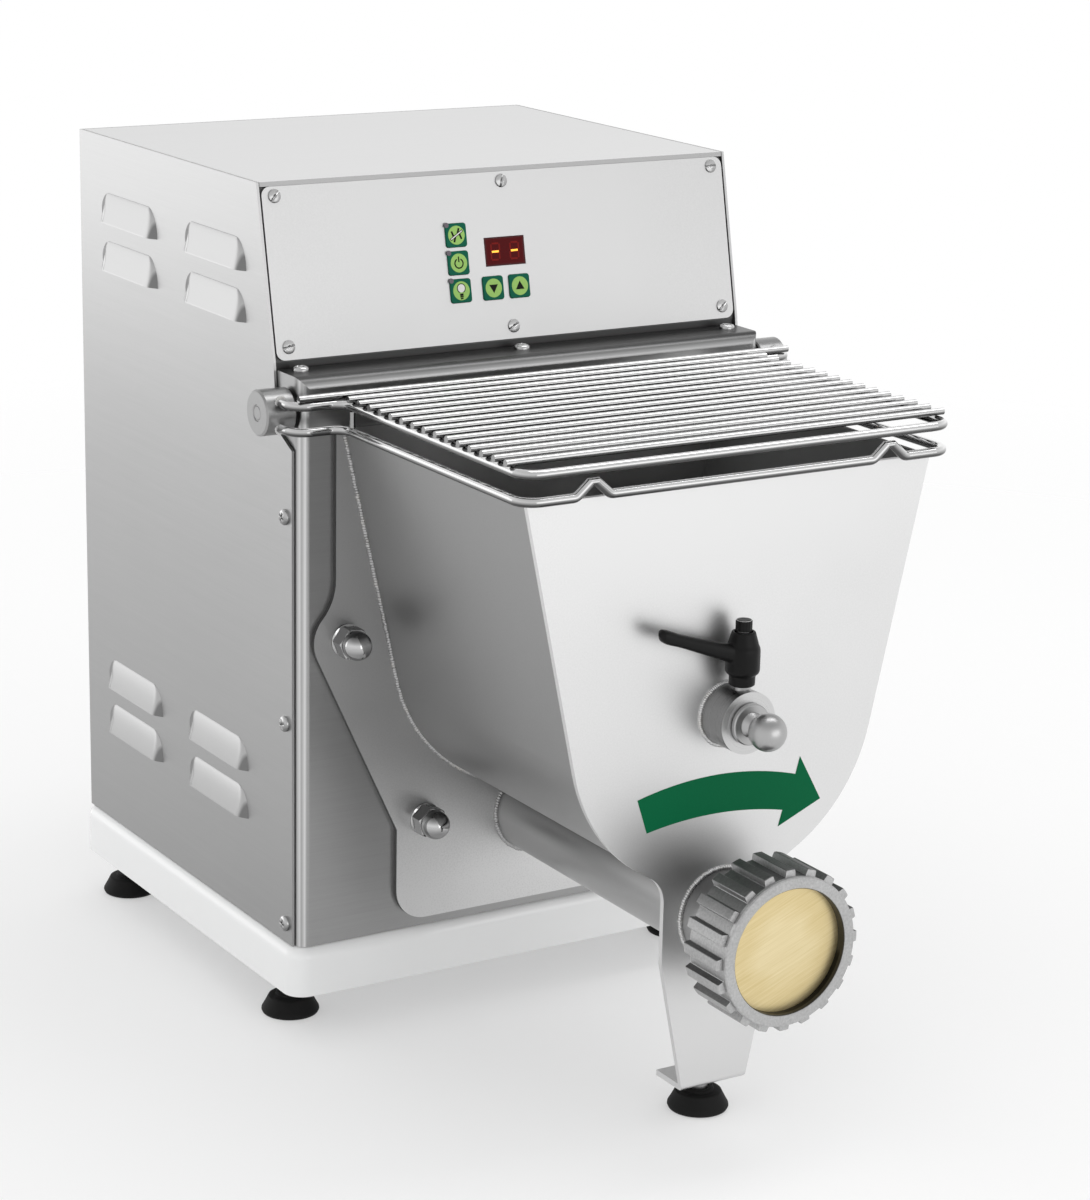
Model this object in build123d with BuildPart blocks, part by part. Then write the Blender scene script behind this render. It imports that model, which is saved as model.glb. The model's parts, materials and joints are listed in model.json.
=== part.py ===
"""Table-top pasta machine: a kneading hopper and extruder barrel in front of a sheet-metal drive housing.

Millimetres, +Z up, the front faces -Y and +X is the viewer's right.
The origin is on the table, under the middle of the machine's box.
Depths are given behind the front panel's face, so what stands in front of it is negative.
"""
import os
from math import acos, atan2, cos, degrees, hypot, pi, radians, sin, sqrt, tan

from build123d import *

# Housing
body_width = 240.0
body_depth = 222.0
total_height = 380.0
sheet = 1.2
seam = 0.3
panel_sheet = 1.5
control_height = 78.0
panel_top = total_height - control_height
panel_bend = 5.0
panel_flange = 21.0
panel_shaft_gap = 1.0
side_front = 4.0
fascia_bottom_depth = 21.0
fascia_gap = 3.0
fascia_bottom_height = panel_top + fascia_gap
fascia_top_depth = 37.0
hinge_height = panel_top - 15.0
notch_bottom = hinge_height - 17.0
notch_top = hinge_height - 10.0
notch_depth = 18.0
cover_flange = 14.0
cover_lip = 2.0

# Base and feet
base_bottom = 22.5
base_height = 22.5
base_overhang = 3.0
base_corner = 9.0
base_edge = 5.0
base_wall = 5.0
base_deck = 5.0
foot_x = body_width / 2 - 15.0
front_foot_depth = 35.0
rear_foot_depth = body_depth - 12.0
foot_radius = 13.2
foot_top_radius = 9.3
foot_height = 11.0
foot_toe = 2.0
foot_boss_radius = 11.0
foot_stud_radius = 4.0
foot_stud_in_rubber = 7.0
foot_stud_in_base = 14.0
foot_nut_width = 13.0
foot_nut_height = 5.0
slip = 0.05

# Louvres in the side panels
louvre_front_margin = 47.0
louvre_gap = 28.0
louvre_back_margin = 23.0
louvre_length = (body_depth - louvre_front_margin - louvre_gap - louvre_back_margin) / 2
louvre_top_length = louvre_length - 15.0
louvre_height = 13.5
louvre_rise = 3.4
louvre_taper = 8.0
louvre_edge = 0.2
louvre_columns = (
    louvre_front_margin + louvre_length / 2,
    body_depth - louvre_back_margin - louvre_length / 2,
)
louvre_row_pitch = 22.5
louvre_low_row = base_bottom + base_height + 46.5
louvre_high_row = total_height - 39.5
louvre_rows = (
    louvre_low_row,
    louvre_low_row + louvre_row_pitch,
    louvre_high_row - louvre_row_pitch,
    louvre_high_row,
)

# Screws of the housing
side_screw_depth = 10.0
side_screw_low = base_bottom + base_height + 9.0
side_screw_high = hinge_height - 47.0
side_screw_heights = (side_screw_low, (side_screw_low + side_screw_high) / 2, side_screw_high)
screw_head_radius = 3.6
screw_head_height = 2.2
screw_head_round = 1.3
screw_radius = 1.9
screw_length = 7.0
recess_width = 1.1
recess_length = 4.2
recess_depth = 1.2
panel_screw_x = body_width / 2 - 10.0
panel_screw_depth = 15.0
return_flange = 18.0
rear_screw_x = body_width / 2 - 10.0
rear_screw_low = base_bottom + base_height + 17.0
rear_screw_high = total_height - 28.0
rear_screw_heights = (rear_screw_low, (rear_screw_low + rear_screw_high) / 2, rear_screw_high)
cover_screw_x = body_width / 4
cover_screw_drop = 7.0

# Control fascia
fascia_width = body_width - 4.0
fascia_length = 74.0
fascia_low_edge = 0.6
fascia_plate_thickness = 1.5
fascia_corner = 4.0
fascia_screw_x = fascia_width / 2 - 6.0
fascia_screw_low = 6.2
fascia_screw_high = 70.5
fascia_screw_radius = 1.5
fascia_screw_head = 2.9
fascia_screw_rise = 0.9
fascia_screw_length = 6.0
slot_width = 0.8
slot_depth = 0.5
button_size = 10.4
button_corner = 1.2
button_clearance = 0.15
button_rise = 0.8
button_flange = 1.0
button_flange_lip = 0.7
button_flange_gap = 0.1
button_travel = 0.7
button_stem_radius = 1.8
button_column_x = -25.5
button_row_up = 23.6
button_pitch = 12.2
button_down_x = -9.0
button_up_x = 4.5
display_width = 20.4
display_height = 12.6
display_x = -1.2
display_up = 39.5
display_clearance = 0.1
board_width = 92.0
board_length = 60.0
board_thickness = 1.6
board_gap = 13.0
board_x = -8.0
board_up = 37.0
standoff_radius = 3.0
standoff_inset = 5.0
switch_size = 6.0
switch_height = 4.0
switch_plunger_radius = 1.6
plunger_height = 1.0

# Lid hinge
hinge_depth = 9.0
hinge_boss_radius = 10.0
hinge_boss_length = 14.0
hinge_boss_gap = 0.1
hinge_washer_radius = 9.0
pivot_radius = 3.3
pivot_clearance = 0.05
pivot_recess = 0.8
pivot_socket_width = 3.0
pivot_socket_depth = 3.5
hinge_block_length = 16.0
hinge_block_depth = 14.0
hinge_block_drop = 9.0
rail_thickness = 3.0
rail_front_depth = 5.5
rail_back_depth = 42.0

# Hopper
auger_rim_share = 92.5 / 279.0
trough_radius = 73.5
trough_wall = 1.5
rim_side_gap = 21.5
rim_half = body_width / 2 - rim_side_gap
rim_height = hinge_height - 8.0
mount_thickness = 2.5
mount_rim_margin = 3.5
mount_top_half = rim_half + mount_rim_margin
mount_bottom = base_bottom + base_height + 4.5
mount_corner = 15.0
mount_blend = 25.0
nut_edge_high = 5.2
nut_x_high = mount_top_half - nut_edge_high
nut_rise_high = 5.0
nut_x_low = 56.9
nut_drop_low = 83.4
mount_ear_high = 15.8
mount_ear_low = 14.1
mount_low_half = nut_x_low + mount_ear_low
hopper_reach = 153.2
front_plate_thickness = 2.5
front_plate_lip = 1.5
neck_half = 28.5
neck_blend = 14.0
leg_shoulder_drop = 18.5
leg_half = 16.0
leg_bottom = 14.5
leg_flange = 20.0
leg_foot_depth = -142.0

# Guard lid
wire_radius = 2.0
wire_gap = 11.0
wire_in_boss = 4.5
boss_wire_x = (body_width + hinge_boss_length) / 2
guard_half_width = rim_half + 5.1
guard_jog = 12.0
guard_reach = 159.5
guard_bend = 8.0
bump_corner_gap = 31.6
bump_x = guard_half_width - bump_corner_gap
bump_half = 8.0
bump_bend = 4.0
bump_gap = 0.1
cross_wire_radius = 1.5
cross_wire_count = 15
cross_wire_pitch = 9.2
cross_wire_overhang = 3.0
rear_wire_half = body_width / 2 + 5.0
weld_gap = 0.05
spacer_radius = 1.4

# Fixing studs and dome nuts
stud_radius = 4.0
nut_width = 13.0
nut_hex_height = 6.5
nut_dome_radius = 6.45
nut_dome_length = 8.5
washer_radius = 7.4
washer_thickness = 1.6
nut_thread_depth = 9.0

# Extruder
gear_module = 2.5
mixer_teeth = 38
auger_teeth = 32
pinion_teeth = 16
barrel_radius = 19.5
barrel_wall = 2.5
barrel_slot_half = 9.0
barrel_head_radius = 27.7
barrel_head_length = 10.5
ring_gap_to_plate = 24.8
ring_length = 26.0
ring_radius = 32.2
ring_rib_radius = 35.0
ring_rib_count = 20
ring_rib_width = 4.6
ring_rib_setback = 2.0
ring_lip = 4.5
ring_hole_radius = 26.2
ring_clearance = 0.3
die_thickness = 8.0
auger_core_radius = 7.0
auger_clearance = 0.4
auger_pitch = 28.0
auger_flight = 4.0
auger_end_gap = 5.0
auger_root = 1.0

# Bearing pin and clamp lever on the hopper front
boss_radius = 13.2
boss_length = 15.3
pin_radius = 6.0
pin_tip_radius = 5.0
pin_clearance = 0.05
pin_tip_length = 12.0
pin_collar_radius = 8.8
pin_collar_length = 2.4
pin_collar_gap = 0.3
pin_stem_radius = 3.4
knob_radius = 7.9
knob_reach = 28.8
lever_depth_on_boss = 9.5
lever_stud_radius = 3.0
lever_stud_gap = 0.2
lever_neck = 1.6
lever_collar_radius = 5.5
lever_collar_height = 5.0
lever_hub_radius = 7.2
lever_hub_height = 11.0
lever_cone_height = 7.0
lever_cone_radius = 4.8
lever_screw_radius = 3.2
lever_screw_rise = 4.6
lever_fit = 0.15
lever_insert_wall = 1.0
lever_insert_sides = 8
lever_lift = 3.5
lever_arm_length = 40.0
lever_arm_rise = 9.0
lever_arm_drop = 2.0
lever_arm_root = 4.6
lever_arm_tip = 2.6
lever_arm_width = 5.4

# Mixer
shaft_radius = 9.0
mixing_radius = 8.0
coupling_radius = 12.0
coupling_length = 14.0
tongue_width = 8.0
tongue_length = 7.0
mixing_end_gap = 3.5
paddle_radius = 66.0
paddle_thickness = 6.0
paddle_width = 16.0
paddle_count = 4
paddle_hub_radius = 12.0
paddle_tilt = 45.0

# Drive behind the front panel
bearing_thickness = 10.0
bearing_half = body_width / 2 - 8.0
bearing_top = panel_top - 30.0
bearing_bottom = base_bottom + base_height + 2.0
bush_radius = 13.0
bush_flange_radius = 17.0
bush_flange = 2.0
shaft_clearance = 0.05
gear_width = 12.0
gear_gap = 0.5
gear_backlash = 0.3
pressure_angle = 20.0
gear_root_depth = 1.25
shaft_tail = 2.0
key_clearance = 0.03
pinion_shaft_radius = 7.0
pinion_tooth_step = 10
pillar_radius = 6.0
pillar_ring = 36.0
pillar_angles = (-75.0, 40.0, 110.0)
gearbox_radius = 43.0
gearbox_length = 46.0
motor_radius = 39.0
motor_rear_gap = 37.0
motor_cap_length = 14.0
motor_fin_count = 24
motor_fin_height = 3.0
motor_fin_width = 2.0
pinion_engagement = 18.0
pillar_clearance = 3.0

# Cable gland in the rear panel
gland_side_gap = 40.0
gland_x = body_width / 2 - gland_side_gap
gland_height = 75.0
gland_reach = 14.0
gland_radius = 9.0
gland_nut_width = 24.0
gland_nut_height = 5.0
gland_bore = 4.2
gland_tail = 10.0

# Derived places
side_x = body_width / 2
inner_x = side_x - sheet - seam
base_top = base_bottom + base_height
base_mid = body_depth / 2
plate_face = -hopper_reach
plate_back = plate_face + front_plate_thickness
ring_back = plate_face - ring_gap_to_plate
ring_face = ring_back - ring_length
die_face = ring_face + ring_lip
die_back = die_face + die_thickness
auger_height = rim_height * auger_rim_share
mixer_height = auger_height + gear_module * (mixer_teeth + auger_teeth) / 2
nut_height_high = mixer_height + nut_rise_high
nut_height_low = mixer_height - nut_drop_low
leg_shoulder = auger_height - leg_shoulder_drop
front_reach = -ring_face
back_reach = body_depth + gland_reach
front_y = (front_reach - back_reach) / 2
fascia_lean = atan2(fascia_top_depth - fascia_bottom_depth, total_height - fascia_bottom_height)
fascia_span = hypot(fascia_top_depth - fascia_bottom_depth, total_height - fascia_bottom_height)
backing_face = fascia_plate_thickness
backing_back = backing_face + sheet
panel_half = side_x - sheet - seam
upper_wire = hinge_height + wire_gap / 2
lower_wire = hinge_height - wire_gap / 2
gear_front = panel_sheet + bearing_thickness + bush_flange + gear_gap
gear_back = gear_front + gear_width
gearbox_front = gear_back + pillar_clearance
shaft_end = gear_back + shaft_tail
stud_spots = (
    (-nut_x_high, nut_height_high),
    (nut_x_high, nut_height_high),
    (-nut_x_low, nut_height_low),
    (nut_x_low, nut_height_low),
)
pinion_angle = radians(-90 + pinion_tooth_step * 360 / mixer_teeth)
pinion_distance = gear_module * (mixer_teeth + pinion_teeth) / 2
pinion_x = pinion_distance * cos(pinion_angle)
pinion_height = mixer_height + pinion_distance * sin(pinion_angle)
base_feet_spots = tuple(
    (x, front_y + depth) for x in (-foot_x, foot_x) for depth in (front_foot_depth, rear_foot_depth)
)
leg_foot_spot = (0, front_y + leg_foot_depth)
shaft_spots = ((0, mixer_height), (0, auger_height))
fascia = Plane(
    origin=(0, front_y + fascia_bottom_depth, fascia_bottom_height),
    x_dir=(1, 0, 0),
    z_dir=(0, -cos(fascia_lean), sin(fascia_lean)),
)
button_spots = {
    "button_mix": (button_column_x, button_row_up + 2 * button_pitch),
    "button_power": (button_column_x, button_row_up + button_pitch),
    "button_extrude": (button_column_x, button_row_up),
    "button_down": (button_down_x, button_row_up),
    "button_up": (button_up_x, button_row_up),
}


def facing(depth):
    """Upright plane at a depth behind the front panel's face, drawn as seen from the front."""
    return Plane.XZ.offset(-(front_y + depth))


def level(height):
    """Level plane at a height above the table."""
    return Plane.XY.offset(height)


def across(x):
    """Upright plane across the machine, whose first direction runs to the back."""
    return Plane.YZ.offset(x)


def behind_fascia(distance):
    """Plane a distance behind the face of the fascia plate."""
    return fascia.offset(-distance)


def save(builder, name):
    """Label a finished piece and write it."""
    builder.part.label = name
    export_step(builder.part, f"parts/{name}.step")


def trough_face(radius, half):
    """The hopper's section: a round bottom about the mixer's axis with straight sides up to the rim."""
    rim_rise = rim_height - mixer_height
    turn = atan2(rim_rise, half) - acos(radius / hypot(half, rim_rise))
    touch_x = radius * cos(turn)
    touch_z = mixer_height + radius * sin(turn)
    with BuildSketch() as section:
        with BuildLine():
            Line((half, rim_height), (touch_x, touch_z))
            ThreePointArc((touch_x, touch_z), (0, mixer_height - radius), (-touch_x, touch_z))
            Line((-touch_x, touch_z), (-half, rim_height))
            Line((-half, rim_height), (half, rim_height))
        make_face()
    return section.sketch


def gear_face(teeth, tooth_angle):
    """Involute spur gear outline with one tooth centred at an angle in degrees."""
    pitch_radius = gear_module * teeth / 2
    base_radius = pitch_radius * cos(radians(pressure_angle))
    tip_radius = pitch_radius + gear_module
    root_radius = pitch_radius - gear_root_depth * gear_module
    flank_start = max(base_radius, root_radius)
    half_tooth = pi / (2 * teeth) - gear_backlash / (2 * pitch_radius)
    involute_at_pitch = tan(radians(pressure_angle)) - radians(pressure_angle)

    def flank(radius, side, centre):
        roll = acos(base_radius / radius)
        turn = centre + side * (half_tooth + involute_at_pitch - (tan(roll) - roll))
        return (radius * cos(turn), radius * sin(turn))

    def root(side, centre):
        x, y = flank(flank_start, side, centre)
        return (x * root_radius / flank_start, y * root_radius / flank_start)

    centres = [radians(tooth_angle) + 2 * pi * n / teeth for n in range(teeth)]
    middle = (flank_start + tip_radius) / 2
    with BuildSketch() as outline:
        with BuildLine():
            for n, centre in enumerate(centres):
                if root_radius < flank_start:
                    Line(root(-1, centre), flank(flank_start, -1, centre))
                ThreePointArc(*(flank(r, -1, centre) for r in (flank_start, middle, tip_radius)))
                Line(flank(tip_radius, -1, centre), flank(tip_radius, 1, centre))
                ThreePointArc(*(flank(r, 1, centre) for r in (tip_radius, middle, flank_start)))
                if root_radius < flank_start:
                    Line(flank(flank_start, 1, centre), root(1, centre))
                Line(root(1, centre), root(-1, centres[(n + 1) % teeth]))
        make_face()
    return outline.sketch


def cross_head_screw():
    """Pan-head screw with a cross recess, its head standing up from the origin."""
    with BuildPart() as screw:
        with BuildSketch():
            Circle(screw_head_radius)
        extrude(amount=screw_head_height)
        fillet(screw.faces().sort_by(Axis.Z)[-1].edges(), screw_head_round)
        with BuildSketch(level(screw_head_height - recess_depth)):
            Rectangle(recess_length, recess_width)
            Rectangle(recess_width, recess_length)
        extrude(amount=recess_depth, mode=Mode.SUBTRACT)
        with BuildSketch():
            Circle(screw_radius)
        extrude(amount=-screw_length)
    return screw.part


def hole_at(plane_spots, radius, depth, plane):
    """Round cutters at spots of a plane, running into it."""
    with BuildPart() as cutter:
        with BuildSketch(plane):
            with Locations(*plane_spots):
                Circle(radius)
        extrude(amount=-depth, both=True)
    return cutter.part


os.makedirs("parts", exist_ok=True)

# Base plate: a white tray, open below, with a boss over each foot
with BuildPart() as base_plate:
    with BuildSketch(level(base_bottom)):
        with Locations((0, front_y + base_mid)):
            RectangleRounded(body_width + 2 * base_overhang, body_depth + 2 * base_overhang, base_corner)
    extrude(amount=base_height)
    fillet(base_plate.faces().sort_by(Axis.Z)[-1].edges(), base_edge)
    with BuildSketch(level(base_bottom)):
        with Locations((0, front_y + base_mid)):
            RectangleRounded(
                body_width + 2 * base_overhang - 2 * base_wall,
                body_depth + 2 * base_overhang - 2 * base_wall,
                base_corner - base_wall / 2,
            )
    extrude(amount=base_height - base_deck, mode=Mode.SUBTRACT)
    with BuildSketch(level(base_bottom)):
        with Locations(*base_feet_spots):
            Circle(foot_boss_radius)
    extrude(amount=base_height - base_deck)
    with BuildSketch(level(base_bottom)):
        with Locations(*base_feet_spots):
            Circle(foot_stud_radius + slip)
    extrude(amount=foot_stud_in_base, mode=Mode.SUBTRACT)
save(base_plate, "base_plate")


def rubber_foot():
    """Cone-shaped rubber foot with a blind hole for its stud."""
    with BuildPart() as foot:
        with BuildSketch(Plane.XZ):
            with BuildLine():
                Polyline(
                    (0, 0),
                    (foot_radius - foot_toe / 2, 0),
                    (foot_radius, foot_toe),
                    (foot_top_radius, foot_height),
                    (0, foot_height),
                    close=True,
                )
            make_face()
        revolve(axis=Axis.Z)
        with BuildSketch(level(foot_height - foot_stud_in_rubber)):
            Circle(foot_stud_radius + slip)
        extrude(amount=foot_stud_in_rubber, mode=Mode.SUBTRACT)
    return foot.part


foot_form = rubber_foot()
with BuildPart() as rubber_feet:
    with Locations(*base_feet_spots, leg_foot_spot):
        add(foot_form)
save(rubber_feet, "rubber_feet")

leg_nut_seat = leg_bottom + front_plate_thickness
foot_stud_bottom = foot_height - foot_stud_in_rubber
with BuildPart() as foot_studs:
    with BuildSketch(level(foot_stud_bottom)):
        with Locations(*base_feet_spots):
            Circle(foot_stud_radius)
    extrude(amount=base_bottom + foot_stud_in_base - foot_stud_bottom)
    with BuildSketch(level(foot_stud_bottom)):
        with Locations(leg_foot_spot):
            Circle(foot_stud_radius)
    extrude(amount=leg_nut_seat + foot_nut_height + foot_toe - foot_stud_bottom)
save(foot_studs, "foot_studs")

with BuildPart() as foot_nuts:
    with BuildSketch(level(base_bottom - foot_nut_height)):
        with Locations(*base_feet_spots):
            RegularPolygon(foot_nut_width / 2, 6, major_radius=False)
            Circle(foot_stud_radius + slip, mode=Mode.SUBTRACT)
    extrude(amount=foot_nut_height)
    with BuildSketch(level(leg_nut_seat)):
        with Locations(leg_foot_spot):
            RegularPolygon(foot_nut_width / 2, 6, major_radius=False)
            Circle(foot_stud_radius + slip, mode=Mode.SUBTRACT)
    extrude(amount=foot_nut_height)
save(foot_nuts, "foot_nuts")


def louvre_hood(depth, bottom, shift):
    """Pressed hood on the left side, deep at its open lower edge and moved inwards by a shift."""
    face_x = -side_x + shift
    middle = front_y + depth
    with BuildPart() as hood:
        for height, length, rise, taper in (
            (bottom, louvre_length, louvre_rise, louvre_taper),
            (bottom + louvre_height, louvre_top_length, louvre_edge, louvre_edge),
        ):
            with BuildSketch(level(height)):
                with BuildLine():
                    Polyline(
                        (face_x + sheet, middle - length / 2),
                        (face_x, middle - length / 2),
                        (face_x - rise, middle - length / 2 + taper),
                        (face_x - rise, middle + length / 2 - taper),
                        (face_x, middle + length / 2),
                        (face_x + sheet, middle + length / 2),
                        close=True,
                    )
                make_face()
        loft(ruled=True)
    return hood.part


louvre_spots = [(depth, bottom) for depth in louvre_columns for bottom in louvre_rows]
louvre_hoods = [louvre_hood(depth, bottom, 0) for depth, bottom in louvre_spots]
louvre_hollows = [louvre_hood(depth, bottom, sheet) for depth, bottom in louvre_spots]
side_screw_spots = [(front_y + side_screw_depth, height) for height in side_screw_heights]
rear_screw_spots = [(side * rear_screw_x, height) for side in (-1, 1) for height in rear_screw_heights]
rear_screw_spots += [(side * cover_screw_x, total_height - cover_screw_drop) for side in (-1, 1)]
rear_screw_holes = hole_at(rear_screw_spots, screw_radius + slip, screw_length, facing(body_depth))

# Side panels: flat sheets with a notch for the lid hinge and four pairs of louvres
with BuildPart() as side_panel_left:
    with BuildSketch(across(-side_x)):
        with BuildLine():
            Polyline(
                (front_y + side_front, base_top),
                (front_y + side_front, notch_bottom),
                (front_y + notch_depth, notch_top),
                (front_y + fascia_bottom_depth, fascia_bottom_height),
                (front_y + fascia_top_depth, total_height),
                (front_y + body_depth, total_height),
                (front_y + body_depth, base_top),
                close=True,
            )
        make_face()
    extrude(amount=sheet)
    with BuildSketch(facing(body_depth - sheet)):
        with Locations((-side_x, base_top)):
            Rectangle(
                return_flange,
                total_height - cover_flange - seam - base_top,
                align=(Align.MIN, Align.MIN),
            )
    extrude(amount=sheet)
    add(louvre_hoods)
    add(louvre_hollows, mode=Mode.SUBTRACT)
    add(hole_at(side_screw_spots, screw_radius + slip, sheet, across(-side_x)), mode=Mode.SUBTRACT)
    add(rear_screw_holes, mode=Mode.SUBTRACT)
save(side_panel_left, "side_panel_left")

with BuildPart() as side_panel_right:
    mirror(side_panel_left.part, about=Plane.YZ)
save(side_panel_right, "side_panel_right")

screw_form = cross_head_screw()
with BuildPart() as side_screws:
    for side in (-1, 1):
        outward = Plane(origin=(side * side_x, 0, 0), x_dir=(0, 1, 0), z_dir=(side, 0, 0))
        for y, height in side_screw_spots:
            with Locations(Plane((side * side_x, y, height), outward.x_dir, outward.z_dir)):
                add(screw_form)
save(side_screws, "side_screws")

# Top cover: lies between the side panels, with flanges bent down and a lip over the fascia
cover_half = inner_x
with BuildPart() as top_cover:
    with BuildSketch(across(-cover_half)):
        with BuildLine():
            Polyline(
                (front_y + fascia_top_depth, total_height),
                (front_y + body_depth - sheet - seam, total_height),
                (front_y + body_depth - sheet - seam, total_height - cover_flange),
                (
                    front_y + fascia_top_depth - cover_flange * tan(fascia_lean),
                    total_height - cover_flange,
                ),
                close=True,
            )
        make_face()
    extrude(amount=2 * cover_half)
    with BuildSketch(across(-cover_half + sheet)):
        with BuildLine():
            Polyline(
                (front_y, total_height - sheet),
                (front_y + body_depth - 2 * sheet - seam, total_height - sheet),
                (front_y + body_depth - 2 * sheet - seam, total_height - cover_flange),
                (front_y, total_height - cover_flange),
                close=True,
            )
        make_face()
    extrude(amount=2 * cover_half - 2 * sheet, mode=Mode.SUBTRACT)
    with BuildSketch(fascia):
        with Locations((0, fascia_span / 2)):
            Rectangle(body_width, fascia_span)
    extrude(amount=-(backing_back + seam), mode=Mode.SUBTRACT)
    with BuildSketch(fascia):
        with Locations((0, fascia_span - cover_lip / 2)):
            Rectangle(2 * cover_half, cover_lip)
    extrude(amount=-(backing_back + seam))
    with BuildSketch(level(total_height)):
        with Locations((0, front_y + base_mid)):
            Rectangle(2 * body_width, 2 * body_depth)
    extrude(amount=cover_flange, mode=Mode.SUBTRACT)
    add(rear_screw_holes, mode=Mode.SUBTRACT)
save(top_cover, "top_cover")

# Rear panel: lies between the side panels, against their return flanges
with BuildPart() as rear_panel:
    with BuildSketch(facing(body_depth)):
        with Locations((0, base_top)):
            Rectangle(2 * inner_x, total_height - base_top, align=(Align.CENTER, Align.MIN))
        with Locations(*rear_screw_spots):
            Circle(screw_radius + slip, mode=Mode.SUBTRACT)
        with Locations((gland_x, gland_height)):
            Circle(gland_radius + slip, mode=Mode.SUBTRACT)
    extrude(amount=sheet)
save(rear_panel, "rear_panel")

with BuildPart() as rear_screws:
    for x, height in rear_screw_spots:
        with Locations(Plane((x, front_y + body_depth, height), (1, 0, 0), (0, 1, 0))):
            add(screw_form)
save(rear_screws, "rear_screws")

with BuildPart() as cable_gland:
    with BuildSketch(facing(body_depth + gland_reach)):
        with Locations((gland_x, gland_height)):
            Circle(gland_radius)
    extrude(amount=gland_reach + sheet + gland_tail)
    with BuildSketch(facing(body_depth + gland_nut_height)):
        with Locations((gland_x, gland_height)):
            RegularPolygon(gland_nut_width / 2, 6, major_radius=False)
    extrude(amount=gland_nut_height)
    with BuildSketch(facing(body_depth - sheet)):
        with Locations((gland_x, gland_height)):
            RegularPolygon(gland_nut_width / 2, 6, major_radius=False)
    extrude(amount=gland_nut_height)
    with BuildSketch(facing(body_depth + gland_reach)):
        with Locations((gland_x, gland_height)):
            Circle(gland_bore)
    extrude(amount=gland_reach + sheet + gland_tail, mode=Mode.SUBTRACT)
save(cable_gland, "cable_gland")

# Front panel: a shallow tray with rounded front corners, its flanges inside the side panels
panel_screw_spots = [(x, front_y + panel_screw_depth) for x in (-panel_screw_x, 0, panel_screw_x)]
panel_inner = panel_half - panel_sheet
hinge_spot = (front_y + hinge_depth, hinge_height)
with BuildPart() as front_panel:
    with BuildSketch(facing(panel_flange)):
        with Locations((0, base_top)):
            Rectangle(2 * panel_half, panel_top - base_top, align=(Align.CENTER, Align.MIN))
    extrude(amount=panel_flange)
    front_edges = front_panel.faces().sort_by(Axis.Y)[0].edges()
    fillet(front_edges.sort_by(Axis.Z)[1:], panel_bend)
    with BuildSketch(facing(panel_flange)):
        with Locations((0, base_top)):
            Rectangle(2 * panel_inner, panel_top - panel_sheet - base_top, align=(Align.CENTER, Align.MIN))
    extrude(amount=panel_flange - panel_bend, mode=Mode.SUBTRACT)
    with BuildSketch(facing(panel_bend)):
        with Locations((0, base_top)):
            Rectangle(
                2 * (panel_half - panel_bend),
                panel_top - panel_bend - base_top,
                align=(Align.CENTER, Align.MIN),
            )
    extrude(amount=panel_bend - panel_sheet, mode=Mode.SUBTRACT)
    panel_cut = 2 * panel_sheet
    add(hole_at(panel_screw_spots, screw_radius + slip, panel_cut, level(panel_top)), mode=Mode.SUBTRACT)
    for side in (-1, 1):
        flange_plane = across(side * panel_half)
        add(hole_at(side_screw_spots, screw_radius + slip, panel_cut, flange_plane), mode=Mode.SUBTRACT)
        add(hole_at([hinge_spot], pivot_radius + slip, panel_cut, flange_plane), mode=Mode.SUBTRACT)
    add(hole_at(stud_spots, stud_radius + slip, panel_cut, facing(0)), mode=Mode.SUBTRACT)
    add(hole_at(shaft_spots, shaft_radius + panel_shaft_gap, panel_cut, facing(0)), mode=Mode.SUBTRACT)
save(front_panel, "front_panel")

with BuildPart() as front_panel_screws:
    for x, y in panel_screw_spots:
        with Locations((x, y, panel_top)):
            add(screw_form)
save(front_panel_screws, "front_panel_screws")

# Cross rail under the front panel's top flange, and the blocks that hold the lid's pivots
rail_top = panel_top - panel_sheet
rail_depth = rail_back_depth - rail_front_depth
with BuildPart() as cross_rail:
    with BuildSketch(level(rail_top)):
        with Locations((0, front_y + rail_front_depth)):
            Rectangle(2 * (panel_inner - seam), rail_depth, align=(Align.CENTER, Align.MIN))
        with Locations(*panel_screw_spots):
            Circle(screw_radius + slip, mode=Mode.SUBTRACT)
    extrude(amount=-rail_thickness)
save(cross_rail, "cross_rail")

block_bottom = hinge_height - hinge_block_drop
with BuildPart() as hinge_blocks:
    for side in (-1, 1):
        with BuildSketch(across(side * panel_inner)):
            with Locations((front_y + rail_front_depth, block_bottom)):
                Rectangle(
                    hinge_block_depth,
                    rail_top - rail_thickness - block_bottom,
                    align=(Align.MIN, Align.MIN),
                )
            with Locations(hinge_spot):
                Circle(pivot_radius + slip, mode=Mode.SUBTRACT)
        extrude(amount=-side * hinge_block_length)
    add(hole_at(panel_screw_spots, screw_radius + slip, screw_length, level(rail_top)), mode=Mode.SUBTRACT)
save(hinge_blocks, "hinge_blocks")

boss_inner = side_x
boss_outer = boss_inner + hinge_boss_length
with BuildPart() as hinge_pins:
    for side in (-1, 1):
        pin_end = boss_outer - pivot_recess
        with BuildSketch(across(side * pin_end)):
            with Locations(hinge_spot):
                Circle(pivot_radius)
        extrude(amount=-side * (pin_end - panel_inner + hinge_block_length))
        with BuildSketch(across(side * pin_end)):
            with Locations(hinge_spot):
                RegularPolygon(pivot_socket_width / 2, 6, major_radius=False)
        extrude(amount=-side * pivot_socket_depth, mode=Mode.SUBTRACT)
save(hinge_pins, "hinge_pins")

with BuildPart() as hinge_washers:
    for side in (-1, 1):
        with BuildSketch(across(side * panel_half)):
            with Locations(hinge_spot):
                Circle(hinge_washer_radius)
                Circle(pivot_radius + slip, mode=Mode.SUBTRACT)
        extrude(amount=side * (boss_inner - panel_half - hinge_boss_gap))
save(hinge_washers, "hinge_washers")

# Guard lid: two bosses on the pivots, two bent wire frames and a row of cross wires
wire_end = hinge_depth - wire_in_boss


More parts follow.
